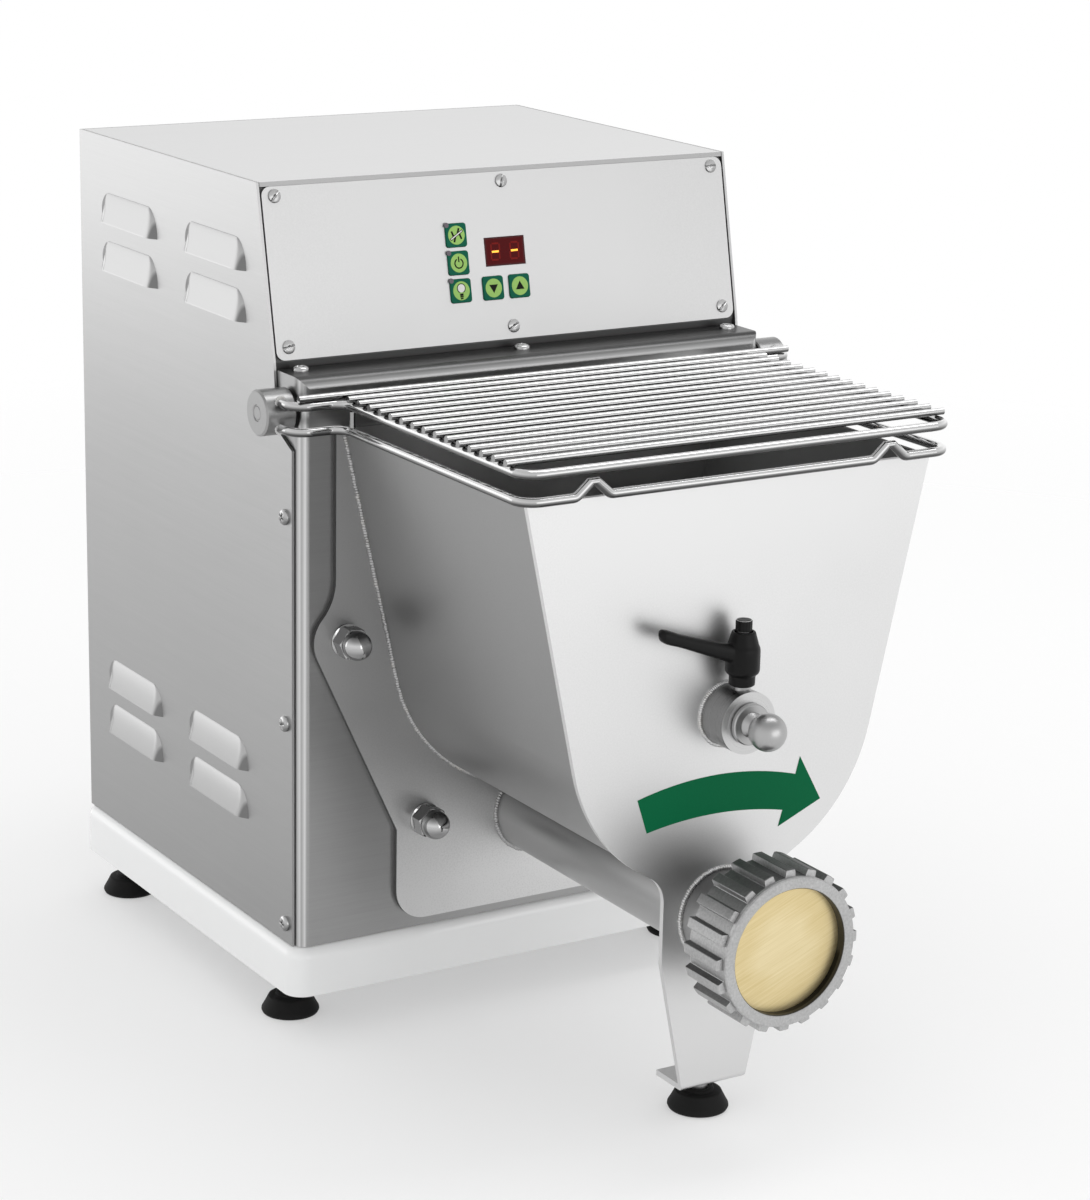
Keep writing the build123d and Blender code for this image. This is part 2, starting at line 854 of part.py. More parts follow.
def hinge_boss(side):
    """Round boss on the lid's pivot, drilled from the front for both wires."""
    with BuildPart() as boss:
        with BuildSketch(across(side * boss_inner)):
            with Locations(hinge_spot):
                Circle(hinge_boss_radius)
                Circle(pivot_radius + pivot_clearance, mode=Mode.SUBTRACT)
        extrude(amount=side * hinge_boss_length)
        with BuildSketch(facing(wire_end)):
            with Locations((side * boss_wire_x, upper_wire), (side * boss_wire_x, lower_wire)):
                Circle(wire_radius + weld_gap)
        extrude(amount=hinge_boss_radius, mode=Mode.SUBTRACT)
    return boss


for name, side in (("hinge_boss_left", -1), ("hinge_boss_right", 1)):
    save(hinge_boss(side), name)

guard_left = [
    (-boss_wire_x, front_y + wire_end),
    (-boss_wire_x, front_y - guard_jog),
    (-guard_half_width, front_y - guard_jog),
    (-guard_half_width, front_y - guard_reach),
]
guard_right = [(-x, y) for x, y in reversed(guard_left)]
with BuildPart() as guard_upper_frame:
    with BuildLine() as upper_path:
        FilletPolyline(*((x, y, upper_wire) for x, y in guard_left + guard_right), radius=guard_bend)
    with BuildSketch(Plane(origin=upper_path.line @ 0, z_dir=upper_path.line % 0)):
        Circle(wire_radius)
    sweep(path=upper_path.line)
save(guard_upper_frame, "guard_upper_frame")

bump_rise = wire_gap - 2 * wire_radius - bump_gap
front_run = front_y - guard_reach
guard_bumps = [
    (middle + shift, front_run, lower_wire + rise)
    for middle in (-bump_x, bump_x)
    for shift, rise in ((-bump_half, 0), (0, bump_rise), (bump_half, 0))
]
lower_points = [(x, y, lower_wire) for x, y in guard_left]
lower_points += guard_bumps
lower_points += [(x, y, lower_wire) for x, y in guard_right]
lower_radii = [guard_bend] * 3 + [bump_bend, bump_bend / 2, bump_bend] * 2 + [guard_bend] * 3
with BuildPart() as guard_lower_frame:
    with BuildLine() as lower_path:
        FilletPolyline(*lower_points, radius=lower_radii)
    with BuildSketch(Plane(origin=lower_path.line @ 0, z_dir=lower_path.line % 0)):
        Circle(wire_radius)
    sweep(path=lower_path.line)
save(guard_lower_frame, "guard_lower_frame")

cross_height = upper_wire + wire_radius + cross_wire_radius + weld_gap
cross_half = guard_half_width + cross_wire_overhang
with BuildPart() as guard_cross_wires:
    with BuildSketch(across(-cross_half)):
        for n in range(cross_wire_count):
            with Locations((front_y - guard_jog - (n + 1) * cross_wire_pitch, cross_height)):
                Circle(cross_wire_radius)
    extrude(amount=2 * cross_half)
    with BuildSketch(across(-rear_wire_half)):
        with Locations((front_y - guard_jog, cross_height)):
            Circle(cross_wire_radius)
    extrude(amount=2 * rear_wire_half)
save(guard_cross_wires, "guard_cross_wires")

with BuildPart() as guard_spacers:
    with BuildSketch(level(lower_wire + wire_radius + weld_gap)):
        for x in (-guard_half_width, guard_half_width):
            with Locations((x, front_y - guard_jog - guard_bend)):
                Circle(spacer_radius)
    extrude(amount=wire_gap - 2 * wire_radius - 2 * weld_gap)
save(guard_spacers, "guard_spacers")

# Control fascia: backing sheet, face plate, buttons, display and board
fascia_screw_spots = [
    (x, up) for x in (-fascia_screw_x, 0, fascia_screw_x) for up in (fascia_screw_low, fascia_screw_high)
]
button_hole = button_size + 2 * button_clearance
board_front = backing_back + board_gap
board_spots = [
    (board_x + x * (board_width / 2 - standoff_inset), board_up + up * (board_length / 2 - standoff_inset))
    for x in (-1, 1)
    for up in (-1, 1)
]


def control_cuts(plane, window_clearance, depth):
    """Cutter for the buttons, the display and the screws, running behind a plane of the fascia."""
    with BuildPart() as cuts:
        with BuildSketch(plane):
            with Locations(*button_spots.values()):
                RectangleRounded(button_hole, button_hole, button_corner)
            with Locations((display_x, display_up)):
                Rectangle(display_width + 2 * window_clearance, display_height + 2 * window_clearance)
            with Locations(*fascia_screw_spots):
                Circle(fascia_screw_radius + slip)
        extrude(amount=-depth)
    return cuts.part


backing_foot_depth = fascia_bottom_depth + backing_face / cos(fascia_lean) + seam
with BuildPart() as fascia_backing:
    with BuildSketch(behind_fascia(backing_face)):
        Rectangle(2 * inner_x, fascia_span - cover_lip - seam, align=(Align.CENTER, Align.MIN))
    extrude(amount=-sheet)
    with BuildSketch(across(-inner_x)):
        with Locations((front_y + backing_foot_depth, rail_top)):
            Rectangle(sheet, fascia_bottom_height - rail_top + sheet, align=(Align.MIN, Align.MIN))
            Rectangle(rail_back_depth - backing_foot_depth, sheet, align=(Align.MIN, Align.MIN))
    extrude(amount=2 * inner_x)
    add(control_cuts(behind_fascia(backing_face), display_clearance, sheet), mode=Mode.SUBTRACT)
save(fascia_backing, "fascia_backing")

with BuildPart() as fascia_plate:
    with BuildSketch(fascia):
        with Locations((0, fascia_low_edge + fascia_length / 2)):
            RectangleRounded(fascia_width, fascia_length, fascia_corner)
    extrude(amount=-fascia_plate_thickness)
    add(control_cuts(fascia, display_clearance, fascia_plate_thickness), mode=Mode.SUBTRACT)
save(fascia_plate, "fascia_plate")


def slotted_screw():
    """Flat round-head screw with one slot, its head standing up from the origin."""
    with BuildPart() as screw:
        with BuildSketch():
            Circle(fascia_screw_head)
        extrude(amount=fascia_screw_rise)
        fillet(screw.faces().sort_by(Axis.Z)[-1].edges(), fascia_screw_rise / 2)
        with BuildSketch(level(fascia_screw_rise - slot_depth)):
            Rectangle(2 * fascia_screw_head, slot_width)
        extrude(amount=slot_depth, mode=Mode.SUBTRACT)
        with BuildSketch():
            Circle(fascia_screw_radius)
        extrude(amount=-fascia_screw_length)
    return screw.part


slotted_form = slotted_screw()
with BuildPart() as fascia_screws:
    for x, up in fascia_screw_spots:
        with Locations(Plane(fascia.from_local_coords((x, up, 0)), fascia.x_dir, fascia.z_dir)):
            add(slotted_form)
save(fascia_screws, "fascia_screws")

switch_top = board_front - switch_height - plunger_height
stem_end = switch_top - button_travel - button_clearance


def push_button(spot):
    """Square button cap with a flange behind the backing sheet and a stem towards its switch."""
    flange_front = backing_back + button_flange_gap
    with BuildPart() as button:
        with BuildSketch(behind_fascia(flange_front)):
            with Locations(spot):
                RectangleRounded(button_size, button_size, button_corner)
        extrude(amount=flange_front + button_rise)
        fillet(button.faces().sort_by(fascia_axis)[-1].edges(), button_rise / 3)
        with BuildSketch(behind_fascia(flange_front)):
            with Locations(spot):
                Rectangle(button_size + 2 * button_flange_lip, button_size + 2 * button_flange_lip)
        extrude(amount=-button_flange)
        with BuildSketch(behind_fascia(flange_front + button_flange)):
            with Locations(spot):
                Circle(button_stem_radius)
        extrude(amount=-(stem_end - flange_front - button_flange))
    return button


fascia_axis = Axis(fascia.origin, fascia.z_dir)
for name, spot in button_spots.items():
    save(push_button(spot), name)

with BuildPart() as display_window:
    with BuildSketch(fascia):
        with Locations((display_x, display_up)):
            Rectangle(display_width, display_height)
    extrude(amount=-fascia_plate_thickness)
save(display_window, "display_window")

with BuildPart() as display_module:
    with BuildSketch(behind_fascia(fascia_plate_thickness)):
        with Locations((display_x, display_up)):
            Rectangle(display_width, display_height)
    extrude(amount=-(board_front - fascia_plate_thickness))
save(display_module, "display_module")

with BuildPart() as control_board:
    with BuildSketch(behind_fascia(board_front)):
        with Locations((board_x, board_up)):
            Rectangle(board_width, board_length)
    extrude(amount=-board_thickness)
save(control_board, "control_board")

with BuildPart() as board_standoffs:
    with BuildSketch(behind_fascia(backing_back)):
        with Locations(*board_spots):
            Circle(standoff_radius)
    extrude(amount=-board_gap)
save(board_standoffs, "board_standoffs")

with BuildPart() as button_switches:
    with BuildSketch(behind_fascia(board_front)):
        with Locations(*button_spots.values()):
            Rectangle(switch_size, switch_size)
    extrude(amount=switch_height)
    with BuildSketch(behind_fascia(board_front - switch_height)):
        with Locations(*button_spots.values()):
            Circle(switch_plunger_radius)
    extrude(amount=plunger_height)
save(button_switches, "button_switches")

# Hopper: mounting plate with dome nuts, trough, front plate with leg, barrel
mount_face = -mount_thickness
with BuildPart() as mounting_plate:
    with BuildSketch(facing(0)) as mount_outline:
        with BuildSketch(mode=Mode.PRIVATE) as ears:
            with Locations(*stud_spots[:2]):
                Circle(mount_ear_high)
            with Locations(*stud_spots[2:]):
                Circle(mount_ear_low)
        make_hull(ears.edges())
        with Locations((0, nut_height_high)):
            Rectangle(2 * mount_top_half, rim_height - nut_height_high, align=(Align.CENTER, Align.MIN))
        with Locations((0, mount_bottom)):
            Rectangle(2 * mount_low_half, nut_height_low - mount_bottom, align=(Align.CENTER, Align.MIN))
        fillet(mount_outline.vertices().group_by(Axis.Y)[0], mount_corner)
        shoulder = nut_height_high + sqrt(mount_ear_high**2 - (mount_top_half - nut_x_high) ** 2)
        fillet([v for v in mount_outline.vertices() if abs(v.Y - shoulder) < seam], mount_blend)
        with Locations(*stud_spots):
            Circle(stud_radius + slip, mode=Mode.SUBTRACT)
        with Locations(*shaft_spots):
            Circle(shaft_radius + seam, mode=Mode.SUBTRACT)
    extrude(amount=mount_thickness)
save(mounting_plate, "mounting_plate")

bearing_back = panel_sheet + bearing_thickness
stud_front = mount_face - washer_thickness - nut_thread_depth
with BuildPart() as mounting_studs:
    with BuildSketch(facing(bearing_back)):
        with Locations(*stud_spots):
            Circle(stud_radius)
    extrude(amount=bearing_back - stud_front)
save(mounting_studs, "mounting_studs")


def dome_nut():
    """Hexagon nut on a broad flange with a domed cap, standing up from the origin."""
    dome_base = washer_thickness + nut_hex_height
    dome_top = washer_thickness + nut_hex_height + nut_dome_length
    with BuildPart() as nut:
        with BuildSketch():
            Circle(washer_radius)
        extrude(amount=washer_thickness)
        with BuildSketch(level(washer_thickness)):
            RegularPolygon(nut_width / 2, 6, major_radius=False)
        extrude(amount=nut_hex_height)
        with BuildSketch(Plane.XZ):
            with BuildLine():
                Line((0, dome_base), (nut_dome_radius, dome_base))
                Line((nut_dome_radius, dome_base), (nut_dome_radius, dome_top - nut_dome_radius))
                RadiusArc((nut_dome_radius, dome_top - nut_dome_radius), (0, dome_top), -nut_dome_radius)
                Line((0, dome_top), (0, dome_base))
            make_face()
        revolve(axis=Axis.Z)
        with BuildSketch():
            Circle(stud_radius + slip)
        extrude(amount=washer_thickness + nut_thread_depth, mode=Mode.SUBTRACT)
    return nut.part


nut_form = dome_nut()
with BuildPart() as dome_nuts:
    for x, height in stud_spots:
        with Locations(Plane((x, front_y + mount_face, height), (1, 0, 0), (0, -1, 0))):
            add(nut_form)
save(dome_nuts, "dome_nuts")

hopper_length = mount_face - plate_back
with BuildPart() as hopper_shell:
    with BuildSketch(facing(mount_face)):
        add(trough_face(trough_radius, rim_half))
        add(trough_face(trough_radius - trough_wall, rim_half - trough_wall), mode=Mode.SUBTRACT)
    extrude(amount=hopper_length)
    add(hole_at(shaft_spots[1:], barrel_radius + slip, 2 * hopper_reach, facing(0)), mode=Mode.SUBTRACT)
save(hopper_shell, "hopper_shell")

with BuildPart() as hopper_front_plate:
    with BuildSketch(facing(plate_back)) as front_outline:
        add(trough_face(trough_radius + front_plate_lip, rim_half))
        Polygon(
            (-neck_half, mixer_height - trough_radius / 2),
            (-neck_half, leg_shoulder),
            (-leg_half, leg_bottom),
            (leg_half, leg_bottom),
            (neck_half, leg_shoulder),
            (neck_half, mixer_height - trough_radius / 2),
            align=None,
        )
        neck_top = mixer_height - sqrt((trough_radius + front_plate_lip) ** 2 - neck_half**2)
        fillet([v for v in front_outline.vertices() if abs(v.Y - neck_top) < seam], neck_blend)
        with Locations(shaft_spots[0]):
            Circle(pin_radius + pin_clearance, mode=Mode.SUBTRACT)
        with Locations(shaft_spots[1]):
            Circle(barrel_radius + slip, mode=Mode.SUBTRACT)
    extrude(amount=front_plate_thickness)
    with BuildSketch(level(leg_bottom)):
        with Locations((0, front_y + plate_face)):
            Rectangle(2 * leg_half, leg_flange, align=(Align.CENTER, Align.MIN))
        with Locations(leg_foot_spot):
            Circle(foot_stud_radius + slip, mode=Mode.SUBTRACT)
    extrude(amount=front_plate_thickness)
    flange_edges = hopper_front_plate.edges().filter_by(Axis.X).group_by(Axis.Z)[0]
    fillet(flange_edges.sort_by(Axis.Y)[0], front_plate_thickness)
save(hopper_front_plate, "hopper_front_plate")

bore_radius = barrel_radius - barrel_wall
head_back = die_back + barrel_head_length
with BuildPart() as extruder_barrel:
    with BuildSketch(facing(mount_face)):
        with Locations(shaft_spots[1]):
            Circle(barrel_radius)
    extrude(amount=mount_face - die_back)
    with BuildSketch(facing(head_back)):
        with Locations(shaft_spots[1]):
            Circle(barrel_head_radius)
    extrude(amount=head_back - die_back)
    with BuildSketch(facing(mount_face)):
        with Locations(shaft_spots[1]):
            Circle(bore_radius)
    extrude(amount=mount_face - die_back, mode=Mode.SUBTRACT)
    with BuildSketch(facing(mount_face)):
        with Locations(shaft_spots[1]):
            Rectangle(2 * barrel_slot_half, 2 * barrel_radius, align=(Align.CENTER, Align.MIN))
    extrude(amount=hopper_length, mode=Mode.SUBTRACT)
save(extruder_barrel, "extruder_barrel")

# Auger: a core with one helical flight, on a shaft that runs back to its gear
auger_radius = bore_radius - auger_clearance
auger_front = die_back + auger_end_gap
auger_axis = Plane((0, front_y + mount_face - auger_end_gap, auger_height), (1, 0, 0), (0, -1, 0))
flight_length = mount_face - 2 * auger_end_gap - auger_front
with BuildPart() as auger:
    with BuildSketch(facing(shaft_end)):
        with Locations(shaft_spots[1]):
            Circle(shaft_radius)
    extrude(amount=shaft_end - mount_face)
    with BuildSketch(facing(mount_face)):
        with Locations(shaft_spots[1]):
            Circle(auger_core_radius)
    extrude(amount=mount_face - auger_front)
    with BuildLine(auger_axis) as flight_path:
        Helix(auger_pitch, flight_length, auger_radius, direction=auger_axis.z_dir)
    flight_origin = flight_path.line @ 0
    with BuildSketch(Plane(flight_origin, flight_origin - auger_axis.origin, flight_path.line % 0)):
        Rectangle(
            auger_radius - auger_core_radius + auger_root,
            auger_flight,
            align=(Align.MAX, Align.CENTER),
        )
    sweep(path=flight_path.line, is_frenet=True)
save(auger, "auger")

with BuildPart() as die_disc:
    with BuildSketch(facing(die_back)):
        with Locations(shaft_spots[1]):
            Circle(barrel_head_radius)
    extrude(amount=die_thickness)
    chamfer(die_disc.edges().filter_by(GeomType.CIRCLE).sort_by(Axis.Y)[0], ring_clearance)
save(die_disc, "die_disc")

with BuildPart() as die_ring:
    with BuildSketch(facing(ring_back)):
        with Locations(shaft_spots[1]):
            Circle(ring_radius)
    extrude(amount=ring_length)
    with BuildSketch(facing(ring_back)):
        with Locations(shaft_spots[1]):
            with PolarLocations(0, ring_rib_count):
                Rectangle(ring_rib_radius, ring_rib_width, align=(Align.MIN, Align.CENTER))
    extrude(amount=ring_length - ring_rib_setback)
    with BuildSketch(facing(ring_back)):
        with Locations(shaft_spots[1]):
            Circle(barrel_head_radius + ring_clearance)
    extrude(amount=ring_length - ring_lip, mode=Mode.SUBTRACT)
    with BuildSketch(facing(ring_back)):
        with Locations(shaft_spots[1]):
            Circle(ring_hole_radius)
    extrude(amount=ring_length, mode=Mode.SUBTRACT)
save(die_ring, "die_ring")

# Bearing boss with its pull-out pin, clamped from above by a lever
boss_face = plate_face - boss_length
lever_spot = (0, front_y + plate_face - lever_depth_on_boss)
boss_top = mixer_height + boss_radius
with BuildPart() as bearing_boss:
    with BuildSketch(facing(plate_face)):
        with Locations(shaft_spots[0]):
            Circle(boss_radius)
            Circle(pin_radius + pin_clearance, mode=Mode.SUBTRACT)
    extrude(amount=boss_length)
    with BuildSketch(level(mixer_height)):
        with Locations(lever_spot):
            Circle(lever_stud_radius + slip)
    extrude(amount=boss_radius, mode=Mode.SUBTRACT)
save(bearing_boss, "bearing_boss")

mixing_front = plate_back + mixing_end_gap
pin_inner = mixing_front + pin_tip_length
pin_shoulder = mixing_front - seam
collar_back = boss_face - pin_collar_gap
collar_face = collar_back - pin_collar_length
knob_centre = plate_face - knob_reach
with BuildPart() as bearing_pin:
    with BuildSketch(facing(pin_inner)):
        with Locations(shaft_spots[0]):
            Circle(pin_tip_radius)
    extrude(amount=pin_inner - pin_shoulder)
    with BuildSketch(facing(pin_shoulder)):
        with Locations(shaft_spots[0]):
            Circle(pin_radius)
    extrude(amount=pin_shoulder - collar_back)
    with BuildSketch(facing(collar_back)):
        with Locations(shaft_spots[0]):
            Circle(pin_collar_radius)
    extrude(amount=pin_collar_length)
    with BuildSketch(facing(collar_face)):
        with Locations(shaft_spots[0]):
            Circle(pin_stem_radius)
    extrude(amount=collar_face - knob_centre)
    with Locations((0, front_y + knob_centre, mixer_height)):
        Sphere(knob_radius)
save(bearing_pin, "bearing_pin")

# Clamp lever: stud with its retaining screw, and the handle that lifts off the stud's teeth
collar_bottom = boss_top + lever_neck
hub_bottom = collar_bottom + lever_collar_height
cone_bottom = hub_bottom + lever_hub_height
hub_top = cone_bottom + lever_cone_height
insert_radius = lever_stud_radius + lever_insert_wall
insert_top = hub_bottom + lever_hub_height / 2
stud_bottom = mixer_height + pin_radius + lever_stud_gap
with BuildPart() as lever_stud:
    with BuildSketch(level(stud_bottom)):
        with Locations(lever_spot):
            Circle(lever_stud_radius)
    extrude(amount=hub_top + lever_fit - stud_bottom)
    with BuildSketch(level(collar_bottom)):
        with Locations(lever_spot):
            RegularPolygon(insert_radius, lever_insert_sides)
    extrude(amount=insert_top - collar_bottom)
    with BuildSketch(level(hub_top + lever_fit)):
        with Locations(lever_spot):
            Circle(lever_screw_radius)
    extrude(amount=lever_screw_rise)
save(lever_stud, "lever_stud")

arm_root = Vector(-lever_hub_radius / 2, lever_spot[1], cone_bottom - lever_arm_drop)
with BuildPart() as lever_handle:
    with BuildSketch(level(collar_bottom)):
        with Locations(lever_spot):
            Circle(lever_collar_radius)
    extrude(amount=lever_collar_height)
    with BuildSketch(level(hub_bottom)):
        with Locations(lever_spot):
            Circle(lever_hub_radius)
    extrude(amount=lever_hub_height)
    with BuildSketch(level(cone_bottom)):
        with Locations(lever_spot):
            Circle(lever_hub_radius)
    with BuildSketch(level(hub_top)):
        with Locations(lever_spot):
            Circle(lever_cone_radius)
    loft()
    for origin, half_height in (
        (arm_root, lever_arm_root),
        (arm_root + Vector(-lever_arm_length, 0, lever_arm_rise), lever_arm_tip),
    ):
        with BuildSketch(Plane(origin, (0, 1, 0), (-1, 0, 0))):
            RectangleRounded(lever_arm_width, 2 * half_height, lever_arm_width / 3)
    loft()
    with BuildSketch(level(collar_bottom)):
        with Locations(lever_spot):
            Circle(insert_radius + lever_fit)
    extrude(amount=insert_top + lever_fit - collar_bottom, mode=Mode.SUBTRACT)
    with BuildSketch(level(collar_bottom)):
        with Locations(lever_spot):
            Circle(lever_stud_radius + lever_fit)
    extrude(amount=hub_top - collar_bottom, mode=Mode.SUBTRACT)
    with BuildSketch(level(hub_top - lever_lift)):
        with Locations(lever_spot):
            Circle(lever_screw_radius + lever_fit)
    extrude(amount=lever_lift, mode=Mode.SUBTRACT)
save(lever_handle, "lever_handle")

# Mixer: drive shaft with a slotted head, and the lift-out shaft with its paddles
coupling_back = mount_face - seam
coupling_face = coupling_back - coupling_length
with BuildPart() as mixer_drive_shaft:
    with BuildSketch(facing(shaft_end)):
        with Locations(shaft_spots[0]):
            Circle(shaft_radius)
    extrude(amount=shaft_end - coupling_back)
    with BuildSketch(facing(coupling_back)):
        with Locations(shaft_spots[0]):
            Circle(coupling_radius)
    extrude(amount=coupling_length)
    with BuildSketch(facing(coupling_face)):
        with Locations(shaft_spots[0]):
            Rectangle(2 * coupling_radius, tongue_width + 2 * slip)
    extrude(amount=-tongue_length - slip, mode=Mode.SUBTRACT)
save(mixer_drive_shaft, "mixer_drive_shaft")

with BuildPart() as mixing_shaft:
    with BuildSketch(facing(coupling_face - slip)):
        with Locations(shaft_spots[0]):
            Circle(mixing_radius)
    extrude(amount=coupling_face - slip - mixing_front)
    with BuildSketch(facing(coupling_face + tongue_length)):
        with Locations(shaft_spots[0]):
            Rectangle(2 * mixing_radius, tongue_width)
    extrude(amount=tongue_length + slip)
    with BuildSketch(facing(mixing_front)):
        with Locations(shaft_spots[0]):
            Circle(pin_tip_radius + pin_clearance)
    extrude(amount=-pin_tip_length - seam, mode=Mode.SUBTRACT)
save(mixing_shaft, "mixing_shaft")

mixing_length = coupling_face - mixing_front
with BuildPart() as mixing_paddles:
    for n in range(paddle_count):
        hub_back = coupling_face - mixing_length * (n + 0.5) / paddle_count + paddle_width / 2
        with BuildSketch(facing(hub_back)):
            with Locations(shaft_spots[0]):
                Circle(paddle_hub_radius)
                with PolarLocations(0, 1, start_angle=paddle_tilt + n * 360 / paddle_count):
                    Rectangle(paddle_radius, paddle_thickness, align=(Align.MIN, Align.CENTER))
                Circle(mixing_radius + key_clearance, mode=Mode.SUBTRACT)
        extrude(amount=paddle_width)
save(mixing_paddles, "mixing_paddles")

# Drive: bearing plate, bushes, gears, pillars and gear motor
with BuildPart() as bearing_plate:
    with BuildSketch(facing(bearing_back)):
        with Locations((0, bearing_bottom)):
            Rectangle(2 * bearing_half, bearing_top - bearing_bottom, align=(Align.CENTER, Align.MIN))
        with Locations(*stud_spots):
            Circle(stud_radius + slip, mode=Mode.SUBTRACT)
        with Locations(*shaft_spots):
            Circle(bush_radius + slip, mode=Mode.SUBTRACT)
    extrude(amount=bearing_thickness)
save(bearing_plate, "bearing_plate")

with BuildPart() as shaft_bushes:
    with BuildSketch(facing(bearing_back)):
        with Locations(*shaft_spots):
            Circle(bush_radius)
    extrude(amount=bearing_thickness)
    with BuildSketch(facing(bearing_back + bush_flange)):
        with Locations(*shaft_spots):
            Circle(bush_flange_radius)
    extrude(amount=bush_flange)
    with BuildSketch(facing(bearing_back + bush_flange)):
        with Locations(*shaft_spots):
            Circle(shaft_radius + shaft_clearance)
    extrude(amount=bearing_thickness + bush_flange, mode=Mode.SUBTRACT)
save(shaft_bushes, "shaft_bushes")


def shaft_gear(teeth, tooth_angle, spot):
    """Spur gear in the gear plane, bored for the drive shafts."""
    with BuildPart() as gear:
        with BuildSketch(facing(gear_back)):
            with Locations(spot):
                add(gear_face(teeth, tooth_angle))
                Circle(shaft_radius + key_clearance, mode=Mode.SUBTRACT)
        extrude(amount=gear_width)
    return gear


save(shaft_gear(mixer_teeth, -90, shaft_spots[0]), "mixer_gear")
save(shaft_gear(auger_teeth, 90 + 180 / auger_teeth, shaft_spots[1]), "auger_gear")

pinion_spot = (pinion_x, pinion_height)
pinion_tooth_angle = degrees(pinion_angle) + 180 + 180 / pinion_teeth
with BuildPart() as motor_pinion:
    with BuildSketch(facing(gear_back)):
        with Locations(pinion_spot):
            add(gear_face(pinion_teeth, pinion_tooth_angle))
    extrude(amount=gear_width)
    with BuildSketch(facing(gearbox_front + pinion_engagement)):
        with Locations(pinion_spot):
            Circle(pinion_shaft_radius)
    extrude(amount=pinion_engagement + pillar_clearance)
save(motor_pinion, "motor_pinion")

with BuildPart() as gear_pillars:
    with BuildSketch(facing(gearbox_front)):
        with Locations(pinion_spot):
            for angle in pillar_angles:
                with PolarLocations(pillar_ring, 1, start_angle=angle):
                    Circle(pillar_radius)
    extrude(amount=gearbox_front - bearing_back)
save(gear_pillars, "gear_pillars")

gearbox_back = gearbox_front + gearbox_length
motor_back = body_depth - motor_rear_gap - motor_cap_length
motor_length = motor_back - gearbox_back
with BuildPart() as gearbox_housing:
    with BuildSketch(facing(gearbox_back)):
        with Locations(pinion_spot):
            Circle(gearbox_radius)
    extrude(amount=gearbox_length)
    with BuildSketch(facing(gearbox_front)):
        with Locations(pinion_spot):
            Circle(pinion_shaft_radius + shaft_clearance)
    extrude(amount=-pinion_engagement - seam, mode=Mode.SUBTRACT)
save(gearbox_housing, "gearbox_housing")

with BuildPart() as motor_housing:
    with BuildSketch(facing(motor_back)):
        with Locations(pinion_spot):
            Circle(motor_radius - motor_fin_height)
            with PolarLocations(0, motor_fin_count):
                Rectangle(motor_radius, motor_fin_width, align=(Align.MIN, Align.CENTER))
    extrude(amount=motor_length)
    with BuildSketch(facing(motor_back + motor_cap_length)):
        with Locations(pinion_spot):
            Circle(motor_radius)
    extrude(amount=motor_cap_length)
    fillet(motor_housing.edges().filter_by(GeomType.CIRCLE).sort_by(Axis.Y)[-1], motor_fin_height)
save(motor_housing, "motor_housing")
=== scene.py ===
"""Looks of the table-top pasta machine, dressed over its solids. Metres, in the solids' own frame."""

import json
import math

import bmesh
import bpy
from mathutils import Matrix, Vector

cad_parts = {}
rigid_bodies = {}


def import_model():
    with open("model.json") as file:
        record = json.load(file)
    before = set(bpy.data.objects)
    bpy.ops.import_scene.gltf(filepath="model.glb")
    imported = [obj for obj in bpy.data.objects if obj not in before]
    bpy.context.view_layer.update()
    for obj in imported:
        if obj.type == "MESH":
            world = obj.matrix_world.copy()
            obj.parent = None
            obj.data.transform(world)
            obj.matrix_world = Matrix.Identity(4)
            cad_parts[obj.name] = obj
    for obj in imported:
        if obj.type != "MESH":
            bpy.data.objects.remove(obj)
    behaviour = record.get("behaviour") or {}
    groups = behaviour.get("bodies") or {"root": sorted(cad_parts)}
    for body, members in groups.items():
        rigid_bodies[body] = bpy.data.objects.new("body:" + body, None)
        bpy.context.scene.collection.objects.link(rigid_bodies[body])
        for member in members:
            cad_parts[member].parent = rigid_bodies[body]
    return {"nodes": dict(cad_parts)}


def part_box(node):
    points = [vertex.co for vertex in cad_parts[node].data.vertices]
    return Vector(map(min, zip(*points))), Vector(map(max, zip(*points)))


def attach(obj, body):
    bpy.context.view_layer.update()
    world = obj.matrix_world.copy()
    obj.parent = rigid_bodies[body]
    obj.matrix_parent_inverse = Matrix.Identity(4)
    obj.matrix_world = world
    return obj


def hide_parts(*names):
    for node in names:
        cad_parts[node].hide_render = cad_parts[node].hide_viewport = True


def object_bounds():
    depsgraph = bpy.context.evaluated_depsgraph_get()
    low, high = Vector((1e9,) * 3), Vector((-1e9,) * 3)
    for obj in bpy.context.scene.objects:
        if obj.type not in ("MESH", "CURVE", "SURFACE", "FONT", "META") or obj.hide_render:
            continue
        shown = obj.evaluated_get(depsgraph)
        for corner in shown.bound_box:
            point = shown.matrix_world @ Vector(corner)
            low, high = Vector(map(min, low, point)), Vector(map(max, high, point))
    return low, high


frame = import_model()
cad_low, cad_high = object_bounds()

MM = 0.001
X, Y, Z = Vector((1, 0, 0)), Vector((0, 1, 0)), Vector((0, 0, 1))
RIGHT_ANGLE = math.pi / 2

